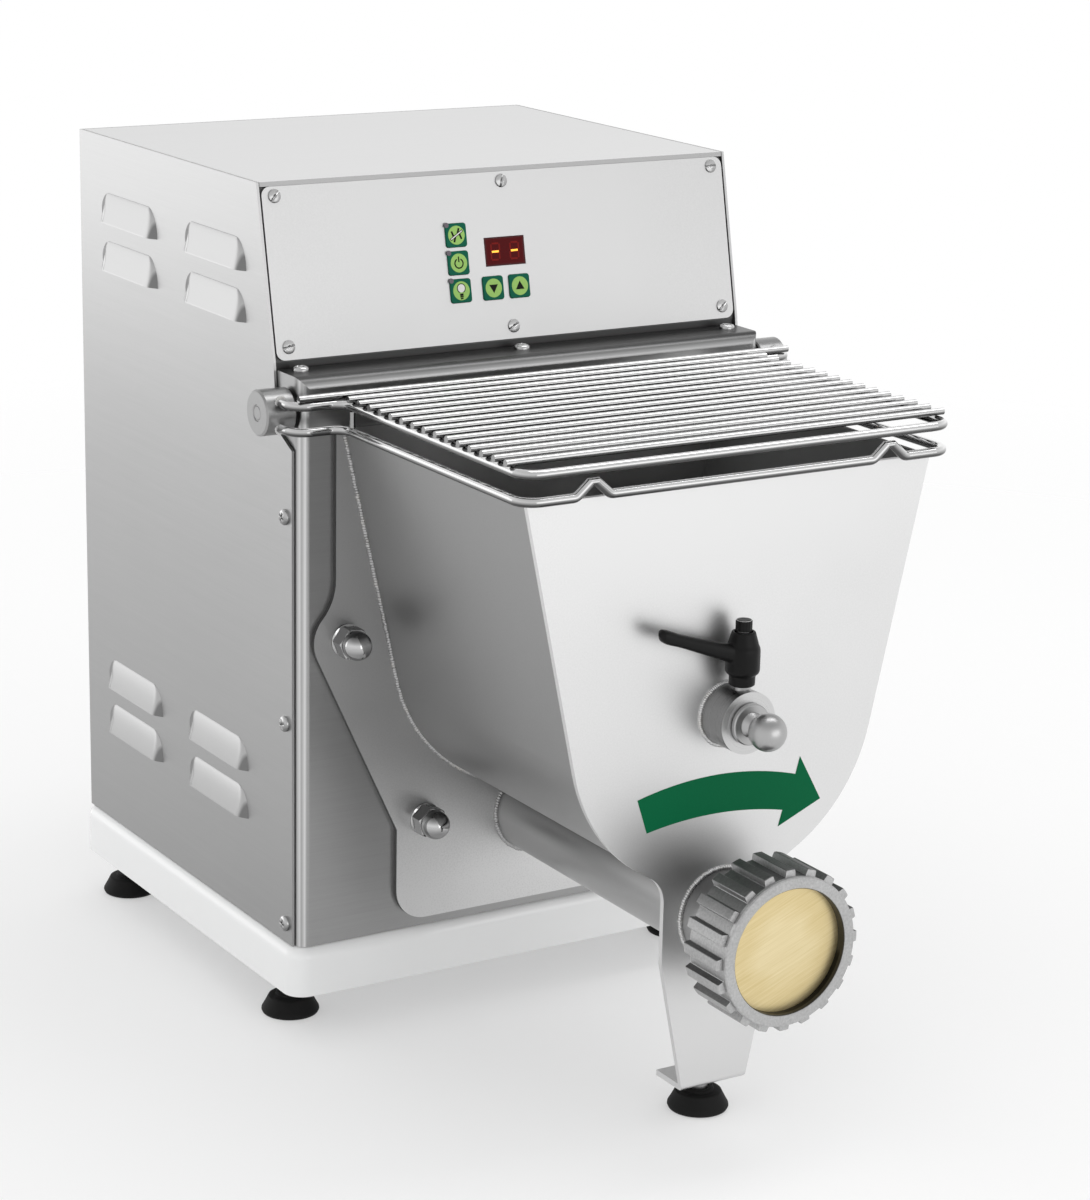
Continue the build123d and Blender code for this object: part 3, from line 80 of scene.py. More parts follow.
# Millimetres of the solids that a box alone doesn't give
LOUVRE_RISE = 3.4
LOUVRE_DEPTHS = (78, 168)
LOUVRE_BOTTOMS = (91.5, 114.0, 318.0, 340.5)
SIDE_SCREW_HEIGHTS = (54, 147, 240)
FLANGE_SCREWS = (-110, 0, 110)
REAR_SCREWS = [(x, z) for x in (-110, 110) for z in (62, 207, 352)] + [(-60, 373), (60, 373)]
FASCIA_SCREWS = [(x, up) for x in (-112, 0, 112) for up in (6.2, 70.5)]
DOME_NUTS = ((-96.8, 185), (96.8, 185), (-56.9, 96.6), (56.9, 96.6))
FOOT_RADIUS, FRONT_FOOT_DEPTH = 13.2, 35
TROUGH_RADIUS, TROUGH_RIM = 73.5, 98.5
BARREL_RADIUS = 19.5
GUARD_WIRE_X = 127
RING_HOLE = 27.0
FASCIA_SETBACK, FASCIA_GAP = 21, 3
FASCIA_RUN, FASCIA_RISE = 16, 75
KEYS = {
    "mix": (-25.5, 48.0), "power": (-25.5, 35.8), "extrude": (-25.5, 23.6),
    "down": (-9.0, 23.6), "up": (4.5, 23.6),
}


def middle(node):
    """Centre of a node's box."""
    low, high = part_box(node)
    return (low + high) / 2


# Places that the pieces share
panel_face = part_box("front_panel")[0].y
side_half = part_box("side_panel_right")[1].x - LOUVRE_RISE * MM
plate_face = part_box("hopper_front_plate")[0].y
mount_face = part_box("mounting_plate")[0].y
shaft = middle("bearing_boss")
spout = middle("die_disc")
hinge = middle("hinge_boss_left")
panel_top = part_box("front_panel")[1].z
fascia_foot = Vector((0, panel_face + FASCIA_SETBACK * MM, panel_top + FASCIA_GAP * MM))
fascia_lean = math.atan2(FASCIA_RUN, FASCIA_RISE)
fascia_out = Vector((0, -math.cos(fascia_lean), math.sin(fascia_lean)))
fascia_up = Vector((0, math.sin(fascia_lean), math.cos(fascia_lean)))


def sign(operation, swapped=False):
    """Method for one sign of a sum: it adds that sign's Math node."""
    def apply(self, other):
        first, second = (other, self) if swapped else (self, other)
        return self.finish.node("ShaderNodeMath", {"operation": operation}, {0: first, 1: second})
    return apply


class Shade:
    """A shader value that takes part in sums."""

    def __init__(self, finish, socket):
        self.finish = finish
        self.socket = socket

    __add__ = __radd__ = sign("ADD")
    __sub__ = sign("SUBTRACT")
    __rsub__ = sign("SUBTRACT", swapped=True)
    __mul__ = __rmul__ = sign("MULTIPLY")
    __truediv__ = sign("DIVIDE")
    __pow__ = sign("POWER")
    __gt__ = sign("GREATER_THAN")
    __lt__ = sign("LESS_THAN")


class NodeWriter:
    """Writes the nodes of one shader tree."""

    def __init__(self, tree):
        self.tree = tree

    def feed(self, socket, value):
        if isinstance(value, Shade):
            self.tree.links.new(value.socket, socket)
        elif socket.type == "RGBA":
            socket.default_value = (*value, 1.0)
        else:
            socket.default_value = value

    def node(self, kind, settings, sockets, out=0):
        made = self.tree.nodes.new(kind)
        for key, value in settings.items():
            if key == "stops":
                ramp = made.color_ramp.elements
                while len(ramp) < len(value):
                    ramp.new(0.5)
                for stop, (position, tone) in zip(ramp, value):
                    stop.position = position
                    stop.color = (tone, tone, tone, 1.0)
            else:
                setattr(made, key, value)
        for key, value in sockets.items():
            self.feed(made.inputs[key], value)
        return None if out is None else Shade(self, made.outputs[out])

    def ramp(self, value, *stops):
        return self.node("ShaderNodeValToRGB", {"stops": stops}, {0: value})

    def across(self, vector):
        """The three coordinates of a vector as values."""
        return [self.node("ShaderNodeSeparateXYZ", {}, {0: vector}, out=n) for n in range(3)]


class Finish(NodeWriter):
    """One procedural finish: a Principled shader and the nodes that feed it."""

    def __init__(self, name, fixed):
        self.material = bpy.data.materials.new(name)
        self.material.use_nodes = True
        super().__init__(self.material.node_tree)
        self.shader = self.tree.nodes["Principled BSDF"]
        for socket, value in fixed.items():
            self.feed(self.shader.inputs[socket], value)

    def place(self, scale=(1, 1, 1), turn=(0, 0, 0), shift=(0, 0, 0)):
        """Object coordinates, turned, moved and then stretched."""
        here = self.node("ShaderNodeTexCoord", {}, {}, out=3)
        moved = self.node("ShaderNodeMapping", {}, {0: here, 1: shift, 2: turn})
        return self.node("ShaderNodeMapping", {}, {0: moved, 3: scale})

    def noise(self, place, scale, detail):
        settings = {"noise_dimensions": "3D"}
        return self.node("ShaderNodeTexNoise", settings, {0: place, 2: scale, 3: detail, 4: 0.55})

    def blend(self, share, first, second):
        """Mix of two colours."""
        return self.node("ShaderNodeMix", {"data_type": "RGBA"}, {0: share, 6: first, 7: second}, out=2)

    def facing(self):
        """The way the surface faces, as three values."""
        return self.across(self.node("ShaderNodeNewGeometry", {}, {}, out="Normal"))

    def set(self, **varying):
        for name, value in varying.items():
            self.feed(self.shader.inputs[name.replace("_", " ")], value)
        return self

    def relief(self, height, depth, strength=1.0):
        """Fine relief of a real depth in metres."""
        bump = self.node("ShaderNodeBump", {}, {"Height": height, "Distance": depth, "Strength": strength})
        return self.set(Normal=bump)


def grey(tone):
    return (tone, tone, tone)


def brushed_steel(name, tone, along, rough, contrast, foot=1.0, fold=1.0, ends=1.0, bend=1.0):
    """Stainless sheet with a grain along one axis; foot, fold and ends paint shade on the part each names,
    and bend paints highlights on the bends.
    """
    steel = Finish(name, {"Metallic": 1.0})
    fine = [2600.0] * 3
    fine["XYZ".index(along)] = 30.0
    broad = [420.0] * 3
    broad["XYZ".index(along)] = 6.0
    grain = steel.noise(steel.place(fine), 1.0, 4.0)
    streak = steel.noise(steel.place(broad), 1.0, 3.0)
    cloud = steel.noise(steel.place(), 7.0, 2.0)
    mark = 0.5 * grain + 0.3 * streak + 0.2 * cloud
    height = steel.across(steel.place())[2]
    out_x, out_y, out_z = steel.facing()
    # painted shade: darker towards the bottom (foot), on faces turned up (fold) and on faces turned to the
    # front or rear (ends)
    painted_shade = steel.ramp(height / cad_high.z, (0.10, 1.0), (0.95, 0.0)) * (1 - foot)
    painted_shade += steel.ramp(out_z, (0.45, 0.0), (0.80, 1.0)) * (1 - fold)
    square_on = out_y * out_y * (1 + 2 * (out_y > 0)) - 3 * out_z * out_z * (out_y < 0)
    painted_shade += steel.ramp(square_on, (0.02, 0.0), (0.16, 1.0)) * (1 - ends)
    sheet = steel.blend(mark, grey(tone * (1 - contrast)), grey(tone * (1 + contrast)))
    # painted highlight: bright bands across the vertical bends, set by bend
    glint = steel.ramp(out_x * out_x, (0.06, 0.0), (0.16, 1.0), (0.42, 0.1), (0.62, 0.9), (0.90, 0.0))
    sheet = steel.blend(glint, sheet, grey(tone * bend))
    steel.set(Base_Color=steel.blend(painted_shade, sheet, grey(0.02)))
    steel.set(Roughness=rough - 0.06 + 0.12 * mark)
    return steel.relief(grain + streak, 0.02 * MM, 0.35)


def satin_steel(name, tone, rough, inside=1.0, edge=1.0, crown=1.0, foot=1.0, mouth=1.0, back=1.0):
    """Bead-blasted steel with speckle and clouds; inside, edge, crown and back paint shade on the part each
    names, and foot and mouth scale the tone towards the bottom and in the hopper's mouth, painted light where
    they are above 1.
    """
    steel = Finish(name, {"Metallic": 1.0})
    speckle = steel.noise(steel.place(), 1300.0, 3.0)
    cloud = steel.noise(steel.place(), 14.0, 3.0)
    mark = 0.65 * speckle + 0.35 * cloud
    x, _, z = steel.across(steel.place(shift=-shaft))
    out_x, out_y, out_z = steel.facing()
    # painted shade: faces turned in towards the shaft (inside), faces not turned to the front or back (edge),
    # faces turned up (crown) and faces turned to the rear (back)
    painted_shade = (x * out_x + z * out_z < -0.01) * (1 - inside)
    painted_shade += steel.ramp(out_y * out_y, (0.10, 1.0), (0.40, 0.0)) * (1 - edge)
    painted_shade += steel.ramp(out_z, (0.0, 0.0), (0.75, 1.0)) * (1 - crown)
    painted_shade += steel.ramp(out_y, (0.5, 0.0), (0.9, 1.0)) * (1 - back)
    # painted light: foot lightens the tone in patches towards the bottom, and mouth lightens it across the
    # hopper's mouth
    low = steel.ramp((z + shaft.z) / (160 * MM), (0.40, 1.0), (0.95, 0.0))
    skin = steel.blend(mark, grey(tone * 0.88), grey(tone * 1.10))
    skin = steel.blend(low * mark * 2.0, skin, grey(tone * foot))
    within = steel.ramp((x * x) ** 0.5 / (100 * MM), (0.60, 1.0), (0.88, 0.0))
    high = steel.ramp(z / (100 * MM), (0.50, 0.0), (0.80, 1.0))
    skin = steel.blend(within * high, skin, grey(tone * mouth))
    steel.set(Base_Color=steel.blend(painted_shade, skin, grey(0.02)))
    steel.set(Roughness=rough - 0.05 + 0.10 * mark)
    return steel.relief(speckle, 0.03 * MM, 0.4)


def polished_steel(name, tone, rough, under=1.0, crown=1.0):
    """Polished stainless steel with faint handling marks; under and crown paint shade on the faces turned
    down and up.
    """
    steel = Finish(name, {"Metallic": 1.0})
    haze = steel.noise(steel.place(), 40.0, 2.0)
    up = 0.5 + 0.5 * steel.facing()[2]
    # painted shade: faces turned down darken by under, faces turned up by crown
    painted_shade = steel.ramp(up, (0.32, 1.0), (0.64, 0.42), (0.82, 0.03), (0.92, 0.0)) * (1 - under)
    painted_shade += steel.ramp(up, (0.62, 0.0), (0.88, 1.0)) * (1 - crown)
    metal = steel.blend(haze, grey(tone * 0.93), grey(tone * 1.04))
    steel.set(Base_Color=steel.blend(painted_shade, metal, grey(0.02)))
    return steel.set(Roughness=rough - 0.02 + 0.04 * haze)


def turned_steel(name, tone, axis_point, rough=0.28, face=1.0):
    """Lathe-turned steel: rings about an axis that runs front to back, with painted light that brightens the
    face turned to the front by face.
    """
    steel = Finish(name, {"Metallic": 1.0})
    x, y, z = steel.across(steel.place(shift=-axis_point))
    ring = (x * x + z * z) ** 0.5
    lines = steel.noise(steel.node("ShaderNodeCombineXYZ", {}, {0: ring, 1: y}), 4200.0, 2.0)
    haze = steel.noise(steel.place(), 60.0, 3.0)
    side = steel.blend(0.7 * lines + 0.3 * haze, grey(tone * 0.85), grey(tone * 1.08))
    # painted light: the face turned to the front is brightened by face
    front = steel.blend(lines, grey(tone * face * 0.9), grey(tone * face * 1.05))
    steel.set(Base_Color=steel.blend(steel.facing()[1] < -0.9, side, front))
    steel.set(Roughness=rough - 0.05 + 0.12 * lines)
    return steel.relief(lines, 0.03 * MM, 0.4)


def cast_aluminium(name, tone):
    """Matt sand-cast aluminium with a pebbled skin, with painted shade on top of the ribs and inside the lip.
    """
    cast = Finish(name, {"Metallic": 1.0})
    skin = cast.noise(cast.place(), 950.0, 4.0)
    patch = cast.noise(cast.place(), 70.0, 3.0)
    x, y, z = cast.across(cast.place(shift=-spout))
    radius = (x * x + z * z) ** 0.5
    rim_depth = 2.0 * MM
    behind_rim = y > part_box("die_ring")[0].y - spout.y + rim_depth
    # painted shade: near black on faces turned up behind the rim, and on the lip's inner wall
    crown = cast.ramp(cast.facing()[2], (0.15, 0.0), (0.85, 0.72)) * behind_rim
    lip = (radius < (RING_HOLE + 0.3) * MM) * 0.9
    mottle = cast.ramp(0.65 * skin + 0.35 * patch, (0.32, 0.0), (0.68, 1.0))
    metal = cast.blend(mottle, grey(tone * 0.80), grey(tone * 1.16))
    cast.set(Base_Color=cast.blend(crown + lip, metal, grey(0.015)))
    cast.set(Roughness=0.40 + 0.16 * patch)
    return cast.relief(skin, 0.12 * MM, 0.55)


def brushed_brass(name):
    """Pale brass with a diagonal grain, warmer towards its edge."""
    brass = Finish(name, {"Metallic": 1.0})
    slant = math.radians(22)
    grain = brass.noise(brass.place((60.0, 60.0, 4200.0), (0, slant, 0)), 1.0, 4.0)
    streak = brass.noise(brass.place((22.0, 60.0, 900.0), (0, slant, 0)), 1.0, 3.0)
    mark = brass.ramp(0.6 * grain + 0.4 * streak, (0.30, 0.0), (0.70, 1.0))
    x, _, z = brass.across(brass.place(shift=-spout))
    cloud = brass.noise(brass.place((45.0, 60.0, 110.0), (0, slant, 0)), 1.0, 2.0)
    out = (x * x + z * z) ** 0.5 / (RING_HOLE * MM)
    warmth = brass.ramp(out + 0.6 * cloud, (0.70, 0.0), (1.35, 0.42))
    pale = brass.blend(mark, (0.68, 0.56, 0.30), (0.83, 0.72, 0.47))
    warm = brass.blend(mark, (0.53, 0.39, 0.14), (0.72, 0.58, 0.29))
    brass.set(Base_Color=brass.blend(warmth, pale, warm))
    brass.set(Roughness=0.34 + 0.12 * mark)
    return brass.relief(grain + streak, 0.03 * MM, 0.5)


def enamel(name, colour):
    """Gloss enamel with a faint orange-peel skin."""
    paint = Finish(name, {"Coat Weight": 0.4, "Coat Roughness": 0.06, "Specular IOR Level": 0.5})
    peel = paint.noise(paint.place(), 420.0, 2.0)
    cloud = paint.noise(paint.place(), 9.0, 2.0)
    paint.set(Base_Color=paint.blend(cloud, tuple(0.965 * c for c in colour), colour))
    paint.set(Roughness=0.20 + 0.08 * peel)
    return paint.relief(peel, 0.02 * MM, 0.25)


def moulded(name, colour, rough, skin_size=900.0, skin_depth=0.05):
    """Moulded plastic or rubber: a fine skin, slightly worn in patches."""
    part = Finish(name, {"Specular IOR Level": 0.16})
    skin = part.noise(part.place(), skin_size, 3.0)
    wear = part.noise(part.place(), 55.0, 3.0)
    part.set(Base_Color=part.blend(wear, colour, tuple(1.5 * c + 0.001 for c in colour)))
    part.set(Roughness=rough - 0.06 + 0.14 * wear)
    return part.relief(skin, skin_depth * MM, 0.5)


def printed(name, colour, rough):
    """Printed film: an even ink with a slight tooth."""
    film = Finish(name, {"Specular IOR Level": 0.05})
    tooth = film.noise(film.place(), 1200.0, 2.0)
    film.set(Base_Color=film.blend(tooth, tuple(0.9 * c for c in colour), tuple(1.08 * c for c in colour)))
    return film.set(Roughness=rough - 0.05 + 0.1 * tooth)


def lit(name, colour, strength):
    """A lit display segment."""
    glow = Finish(name, {"Roughness": 0.4, "Emission Strength": strength})
    flicker = glow.noise(glow.place(), 900.0, 2.0)
    shown = glow.blend(flicker, tuple(0.85 * c for c in colour), colour)
    return glow.set(Base_Color=shown, Emission_Color=shown)


def weld_metal(name, tone):
    """Bright rough weld metal, heat-toned in places."""
    weld = Finish(name, {"Metallic": 1.0})
    lump = weld.noise(weld.place(), 700.0, 4.0)
    heat = weld.ramp(weld.noise(weld.place(), 160.0, 2.0), (0.50, 0.0), (0.90, 1.0))
    weld.set(Base_Color=weld.blend(heat, grey(tone), (0.52, 0.50, 0.46)))
    weld.set(Roughness=0.25 + 0.25 * lump)
    return weld.relief(lump, 0.2 * MM, 0.5)


# side sheets: painted shade that darkens them towards the bottom
steel_side = brushed_steel("brushed_side_sheet", 0.47, "Y", 0.34, 0.13, foot=0.70)
# louvre hoods: painted shade on the faces turned to the front or rear
steel_hood = brushed_steel("brushed_louvre", 0.42, "Y", 0.34, 0.04, ends=0.42)
# front sheet: its tone, darker than the side sheets', is partly painted shade for the panel behind the
# hopper; painted shade on its top flange and painted highlights on its bends
steel_front = brushed_steel("brushed_front_sheet", 0.35, "X", 0.30, 0.14, fold=0.20, bend=1.9)
# top sheet: painted shade on the faces turned to the front or rear
steel_top = brushed_steel("brushed_top_sheet", 0.83, "X", 0.50, 0.04, ends=0.5)
# front plate: painted shade on its rear face
steel_plate = satin_steel("satin_front_plate", 0.69, 0.40, back=0.25)
# hopper shell: painted shade on the faces turned in towards the shaft
steel_hopper = satin_steel("satin_hopper", 0.33, 0.38, inside=0.85)
steel_bracket = satin_steel("satin_bracket", 0.42, 0.38)
# mounting plate: painted shade on the faces not turned to the front or back, and painted light towards the
# bottom and in the hopper's mouth
steel_mount = satin_steel("satin_mounting_plate", 0.44, 0.38, edge=0.2, foot=1.5, mouth=2.0)
# barrel: painted shade on the faces turned up
steel_barrel = satin_steel("satin_barrel", 0.44, 0.36, crown=0.35)
# fascia backing: near-black tone, painted shadow in the gap under the fascia
backing_painted_shadow = satin_steel("satin_backing_painted_shadow", 0.09, 0.45)
steel_fascia = satin_steel("satin_fascia", 0.59, 0.44)
# wires: painted shade on the faces turned down
steel_wire = polished_steel("polished_wire", 0.86, 0.10, under=0.08)
# dome nuts: painted shade on the faces turned down and on the faces turned up
steel_dome = polished_steel("polished_dome", 0.80, 0.05, under=0.35, crown=0.12)
steel_plain = satin_steel("plain_steel", 0.45, 0.30)
# screws: painted shade on the faces turned down
steel_screw = polished_steel("screw_steel", 0.66, 0.20, under=0.30)
steel_boss = satin_steel("satin_boss", 0.34, 0.30)
# bearing boss: painted light on the face turned to the front
steel_turned = turned_steel("turned_boss", 0.29, shaft, face=2.0)
steel_pin = turned_steel("turned_pin", 0.44, shaft, 0.32)
# ring nut: painted shade on the ribs' tops and inside the lip
alloy = cast_aluminium("cast_ring", 0.46)
brass = brushed_brass("brushed_brass")
bronze = polished_steel("bronze_bush", 0.5, 0.3)
white = enamel("white_enamel", (0.885, 0.89, 0.89))
motor_paint = enamel("dark_motor_paint", (0.045, 0.05, 0.055))
rubber = moulded("black_rubber", (0.006, 0.006, 0.006), 0.62, 700.0, 0.08)
plastic = moulded("black_plastic", (0.003, 0.003, 0.003), 0.36, 1300.0, 0.03)
key_green = printed("key_green", (0.008, 0.112, 0.066), 0.30)
key_disc = printed("key_disc", (0.335, 0.565, 0.155), 0.34)
key_ink = printed("key_ink", (0.012, 0.014, 0.010), 0.4)
key_white = printed("key_white", (0.75, 0.75, 0.72), 0.4)
lamp_grey = printed("lamp_grey", (0.16, 0.14, 0.16), 0.3)
arrow_green = printed("arrow_green", (0.003, 0.118, 0.046), 0.45)
glass_red = moulded("display_red", (0.045, 0.003, 0.004), 0.14, 500.0, 0.0)
figure_red = printed("figure_red", (0.085, 0.006, 0.007), 0.25)
segment_dim = printed("segment_dim", (0.190, 0.012, 0.010), 0.25)
segment_lit = lit("segment_lit", (1.0, 0.36, 0.03), 1.6)
board_green = moulded("circuit_board", (0.02, 0.10, 0.04), 0.4)
weld = weld_metal("weld_metal", 0.66)
weld_brushed = weld_metal("weld_metal_brushed", 0.44)

NODE_FINISHES = {
    steel_side: ("side_panel_left", "side_panel_right", "rear_panel"),
    steel_front: ("front_panel", "cross_rail", "hinge_blocks"),
    steel_top: ("top_cover",),
    backing_painted_shadow: ("fascia_backing",),
    steel_mount: ("mounting_plate",),
    steel_barrel: ("extruder_barrel",),
    steel_plate: ("hopper_front_plate",),
    steel_hopper: ("hopper_shell",),
    steel_bracket: ("mixing_shaft", "mixing_paddles", "auger", "gearbox_housing"),
    steel_fascia: ("fascia_plate",),
    steel_wire: ("guard_upper_frame", "guard_lower_frame", "guard_cross_wires", "guard_spacers"),
    steel_plain: (
        "foot_studs", "foot_nuts", "hinge_pins", "mounting_studs",
        "lever_stud", "mixer_drive_shaft", "bearing_plate", "mixer_gear", "auger_gear", "motor_pinion",
        "gear_pillars",
    ),
    steel_turned: ("bearing_boss",),
    brass: ("die_disc", "board_standoffs"),
    bronze: ("shaft_bushes",),
    white: ("base_plate",),
    motor_paint: ("motor_housing",),
    plastic: ("hinge_washers", "cable_gland", "display_module", "button_switches"),
    key_green: ("button_mix", "button_power", "button_extrude", "button_down", "button_up"),
    glass_red: ("display_window",),
    board_green: ("control_board",),
}
for finish, nodes in NODE_FINISHES.items():
    for node in nodes:
        mesh = frame["nodes"][node].data
        mesh.materials.clear()
        mesh.materials.append(finish.material)


def link(name, mesh):
    thing = bpy.data.objects.new(name, mesh)
    bpy.context.scene.collection.objects.link(thing)
    return thing


def as_shown(thing):
    """Mesh of an object with its modifiers applied."""
    return bpy.data.meshes.new_from_object(thing.evaluated_get(bpy.context.evaluated_depsgraph_get()))


def mesh_of(form, name, smooth_angle=35):
    """Mesh from a bmesh, its faces turned outwards and its soft edges smoothed."""
    bmesh.ops.remove_doubles(form, verts=form.verts, dist=0.002 * MM)
    bmesh.ops.recalc_face_normals(form, faces=form.faces)
    for face in form.faces:
        face.smooth = True
    for edge in form.edges:
        edge.smooth = edge.is_manifold and edge.calc_face_angle(0.0) < math.radians(smooth_angle)
    made = bpy.data.meshes.new(name)
    form.to_mesh(made)
    form.free()
    return made


def dress(thing, finish, body, slot, *replaced):
    """Give a finished piece its finish and body, and hide the nodes that it stands for; its slot is not used.
    """
    thing.data.materials.clear()
    thing.data.materials.append(finish.material)
    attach(thing, body)
    if replaced:
        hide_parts(*replaced)


def turned_form(rings, segments=48):
    """Closed bmesh about +Z from rings of (radius, height); a radius may be a function of the angle."""
    form = bmesh.new()
    angles = [2 * math.pi * n / segments for n in range(segments)]
    rows = []
    for radius, height in rings:
        if radius == 0:
            rows.append([form.verts.new((0, 0, height))])
            continue
        row = []
        for angle in angles:
            reach = radius(angle) if callable(radius) else radius
            rise = height(angle) if callable(height) else height
            row.append(form.verts.new((reach * math.cos(angle), reach * math.sin(angle), rise)))
        rows.append(row)
    for below, above in zip(rows, rows[1:]):
        for n in range(segments):
            m = (n + 1) % segments
            corners = ((below, n), (below, m), (above, m), (above, n))
            unique = list(dict.fromkeys(row[k % len(row)] for row, k in corners))
            if len(unique) > 2:
                form.faces.new(unique)
    return form


def in_mm(rings):
    """Rings of metres from rings of millimetres."""
    return [(radius * MM, height * MM) for radius, height in rings]


def spun(turn):
    """Matrix of a turn about a piece's own axis."""
    return Matrix.Rotation(turn, 4, "Z")


def pointing(place, outward, upward=Z):
    """Matrix that takes +Z to an outward direction and +Y near an upward one."""
    out = Vector(outward).normalized()
    side = Vector(upward).cross(out).normalized()
    turn = Matrix((side, out.cross(side), out)).transposed().to_4x4()
    return Matrix.Translation(place) @ turn


class Layout:
    """A Geometry Nodes tree with named inputs, written one node per call."""

    def __init__(self, name, inputs):
        self.tree = bpy.data.node_groups.new(name, "GeometryNodeTree")
        face = self.tree.interface
        face.new_socket("Geometry", in_out="INPUT", socket_type="NodeSocketGeometry")
        self.ids = {}
        for title, kind in inputs.items():
            made = face.new_socket(title, in_out="INPUT", socket_type="NodeSocket" + kind)
            self.ids[title] = made.identifier
        face.new_socket("Geometry", in_out="OUTPUT", socket_type="NodeSocketGeometry")
        self.start = self.tree.nodes.new("NodeGroupInput")
        self.end = self.tree.nodes.new("NodeGroupOutput")

    def given(self, title):
        return self.start.outputs[title]

    def node(self, kind, settings=None, sockets=None, out=0):
        made = self.tree.nodes.new(kind)
        for key, value in (settings or {}).items():
            setattr(made, key, value)
        for key, value in (sockets or {}).items():
            if isinstance(value, bpy.types.NodeSocket):
                self.tree.links.new(value, made.inputs[key])
            else:
                made.inputs[key].default_value = value
        return made.outputs[out]

    def finish(self, geometry):
        """Realize the instances, set the finish and hand over."""
        plain = self.node("GeometryNodeRealizeInstances", sockets={0: geometry})
        sockets = {"Geometry": plain, "Material": self.given("Finish")}
        coated = self.node("GeometryNodeSetMaterial", sockets=sockets)
        self.tree.links.new(coated, self.end.inputs[0])

    def run(self, name, carrier, values):
        """Plain mesh object of the tree's result on a carrier mesh."""
        thing = link(name, carrier)
        modifier = thing.modifiers.new("layout", "NODES")
        modifier.node_group = self.tree
        for title, value in values.items():
            modifier[self.ids[title]] = value
        made = as_shown(thing)
        thing.modifiers.remove(modifier)
        thing.data = made
        return thing


def fittings_layout():
    """One copy of a fitting at each point, turned as the point's own turn says."""
    tree = Layout("fittings", {"Fitting": "Object", "Finish": "Material"})
    turn = tree.node("GeometryNodeInputNamedAttribute", {"data_type": "FLOAT_VECTOR"}, {"Name": "turn"})
    rotation = tree.node("FunctionNodeEulerToRotation", sockets={0: turn})
    fitting = tree.node("GeometryNodeObjectInfo", {"transform_space": "ORIGINAL"},
                        {"Object": tree.given("Fitting")}, out=4)
    sockets = {"Points": tree.given("Geometry"), "Instance": fitting, "Rotation": rotation}
    tree.finish(tree.node("GeometryNodeInstanceOnPoints", sockets=sockets))
    return tree


def bead_layout():
    """A weld bead: overlapping ripples along a path, uneven by a fixed seed."""
    tree = Layout("weld_bead", {"Ripple": "Float", "Bead": "Float", "Seed": "Int", "Finish": "Material"})
    path = tree.node("GeometryNodeMeshToCurve", sockets={0: tree.given("Geometry")})
    sockets = {0: path, "Length": tree.given("Ripple")}
    spaced = tree.node("GeometryNodeResampleCurve", {"mode": "LENGTH"}, sockets)
    sockets = {"Segments": 9, "Rings": 6, "Radius": tree.given("Bead")}
    drop = tree.node("GeometryNodeMeshUVSphere", sockets=sockets)
    tangent = tree.node("GeometryNodeInputTangent")
    along = tree.node("FunctionNodeAlignRotationToVector", {"axis": "Z"}, {"Vector": tangent})
    uneven = tree.node(
        "FunctionNodeRandomValue", {"data_type": "FLOAT_VECTOR"},
        {0: (0.80, 0.80, 0.55), 1: (1.12, 1.12, 0.85), "Seed": tree.given("Seed")},
    )
    sockets = {"Points": spaced, "Instance": drop, "Rotation": along, "Scale": uneven}
    ripples = tree.node("GeometryNodeInstanceOnPoints", sockets=sockets)
    tree.finish(tree.node("GeometryNodeSetShadeSmooth", sockets={0: ripples}))
    return tree


fittings = fittings_layout()
beads = bead_layout()


def set_out(name, fitting_mesh, places, finish, body, slot, *replaced):
    """One dressed piece with a copy of a fitting at every place matrix."""
    carrier = bpy.data.meshes.new(name)
    carrier.from_pydata([m.to_translation() for m in places], [], [])
    turn = carrier.attributes.new("turn", "FLOAT_VECTOR", "POINT")
    for item, place in zip(turn.data, places):
        item.vector = place.to_euler()
    pattern = link(name + "_pattern", fitting_mesh)
    thing = fittings.run(name, carrier, {"Fitting": pattern, "Finish": finish.material})
    bpy.data.objects.remove(pattern)
    dress(thing, finish, body, slot, *replaced)


def run_bead(name, paths, ripple, bead, seed):
    """Weld beads along open or closed lists of points."""
    carrier = bpy.data.meshes.new(name)
    points, edges = [], []
    for path in paths:
        first = len(points)
        points += path
        edges += [(first + n, first + n + 1) for n in range(len(path) - 1)]
    carrier.from_pydata(points, edges, [])
    values = {"Ripple": ripple, "Bead": bead, "Seed": seed, "Finish": weld.material}
    return beads.run(name, carrier, values)


def circle(centre, radius, steps=64, start=0.0, sweep=2 * math.pi):
    """Points of a circle or an arc in a plane that faces the front."""
    angles = [start + sweep * n / steps for n in range(steps + 1)]
    return [centre + radius * (math.cos(a) * X + math.sin(a) * Z) for a in angles]


def cut_away(mesh, cutter_form):
    """Mesh less a cutter."""
    body = link("cut_body", mesh)
    tool = link("cut_tool", mesh_of(cutter_form, "cut_tool"))
    modifier = body.modifiers.new("cut", "BOOLEAN")
    modifier.operation = "DIFFERENCE"
    modifier.object = tool
    modifier.solver = "EXACT"
    made = as_shown(body)
    bpy.data.objects.remove(body)
    bpy.data.objects.remove(tool)
    return made


def block(form, size, place):
    """A block in a bmesh."""
    bmesh.ops.create_cube(form, size=1.0, matrix=place @ Matrix.Diagonal((*size, 1.0)))
    return form


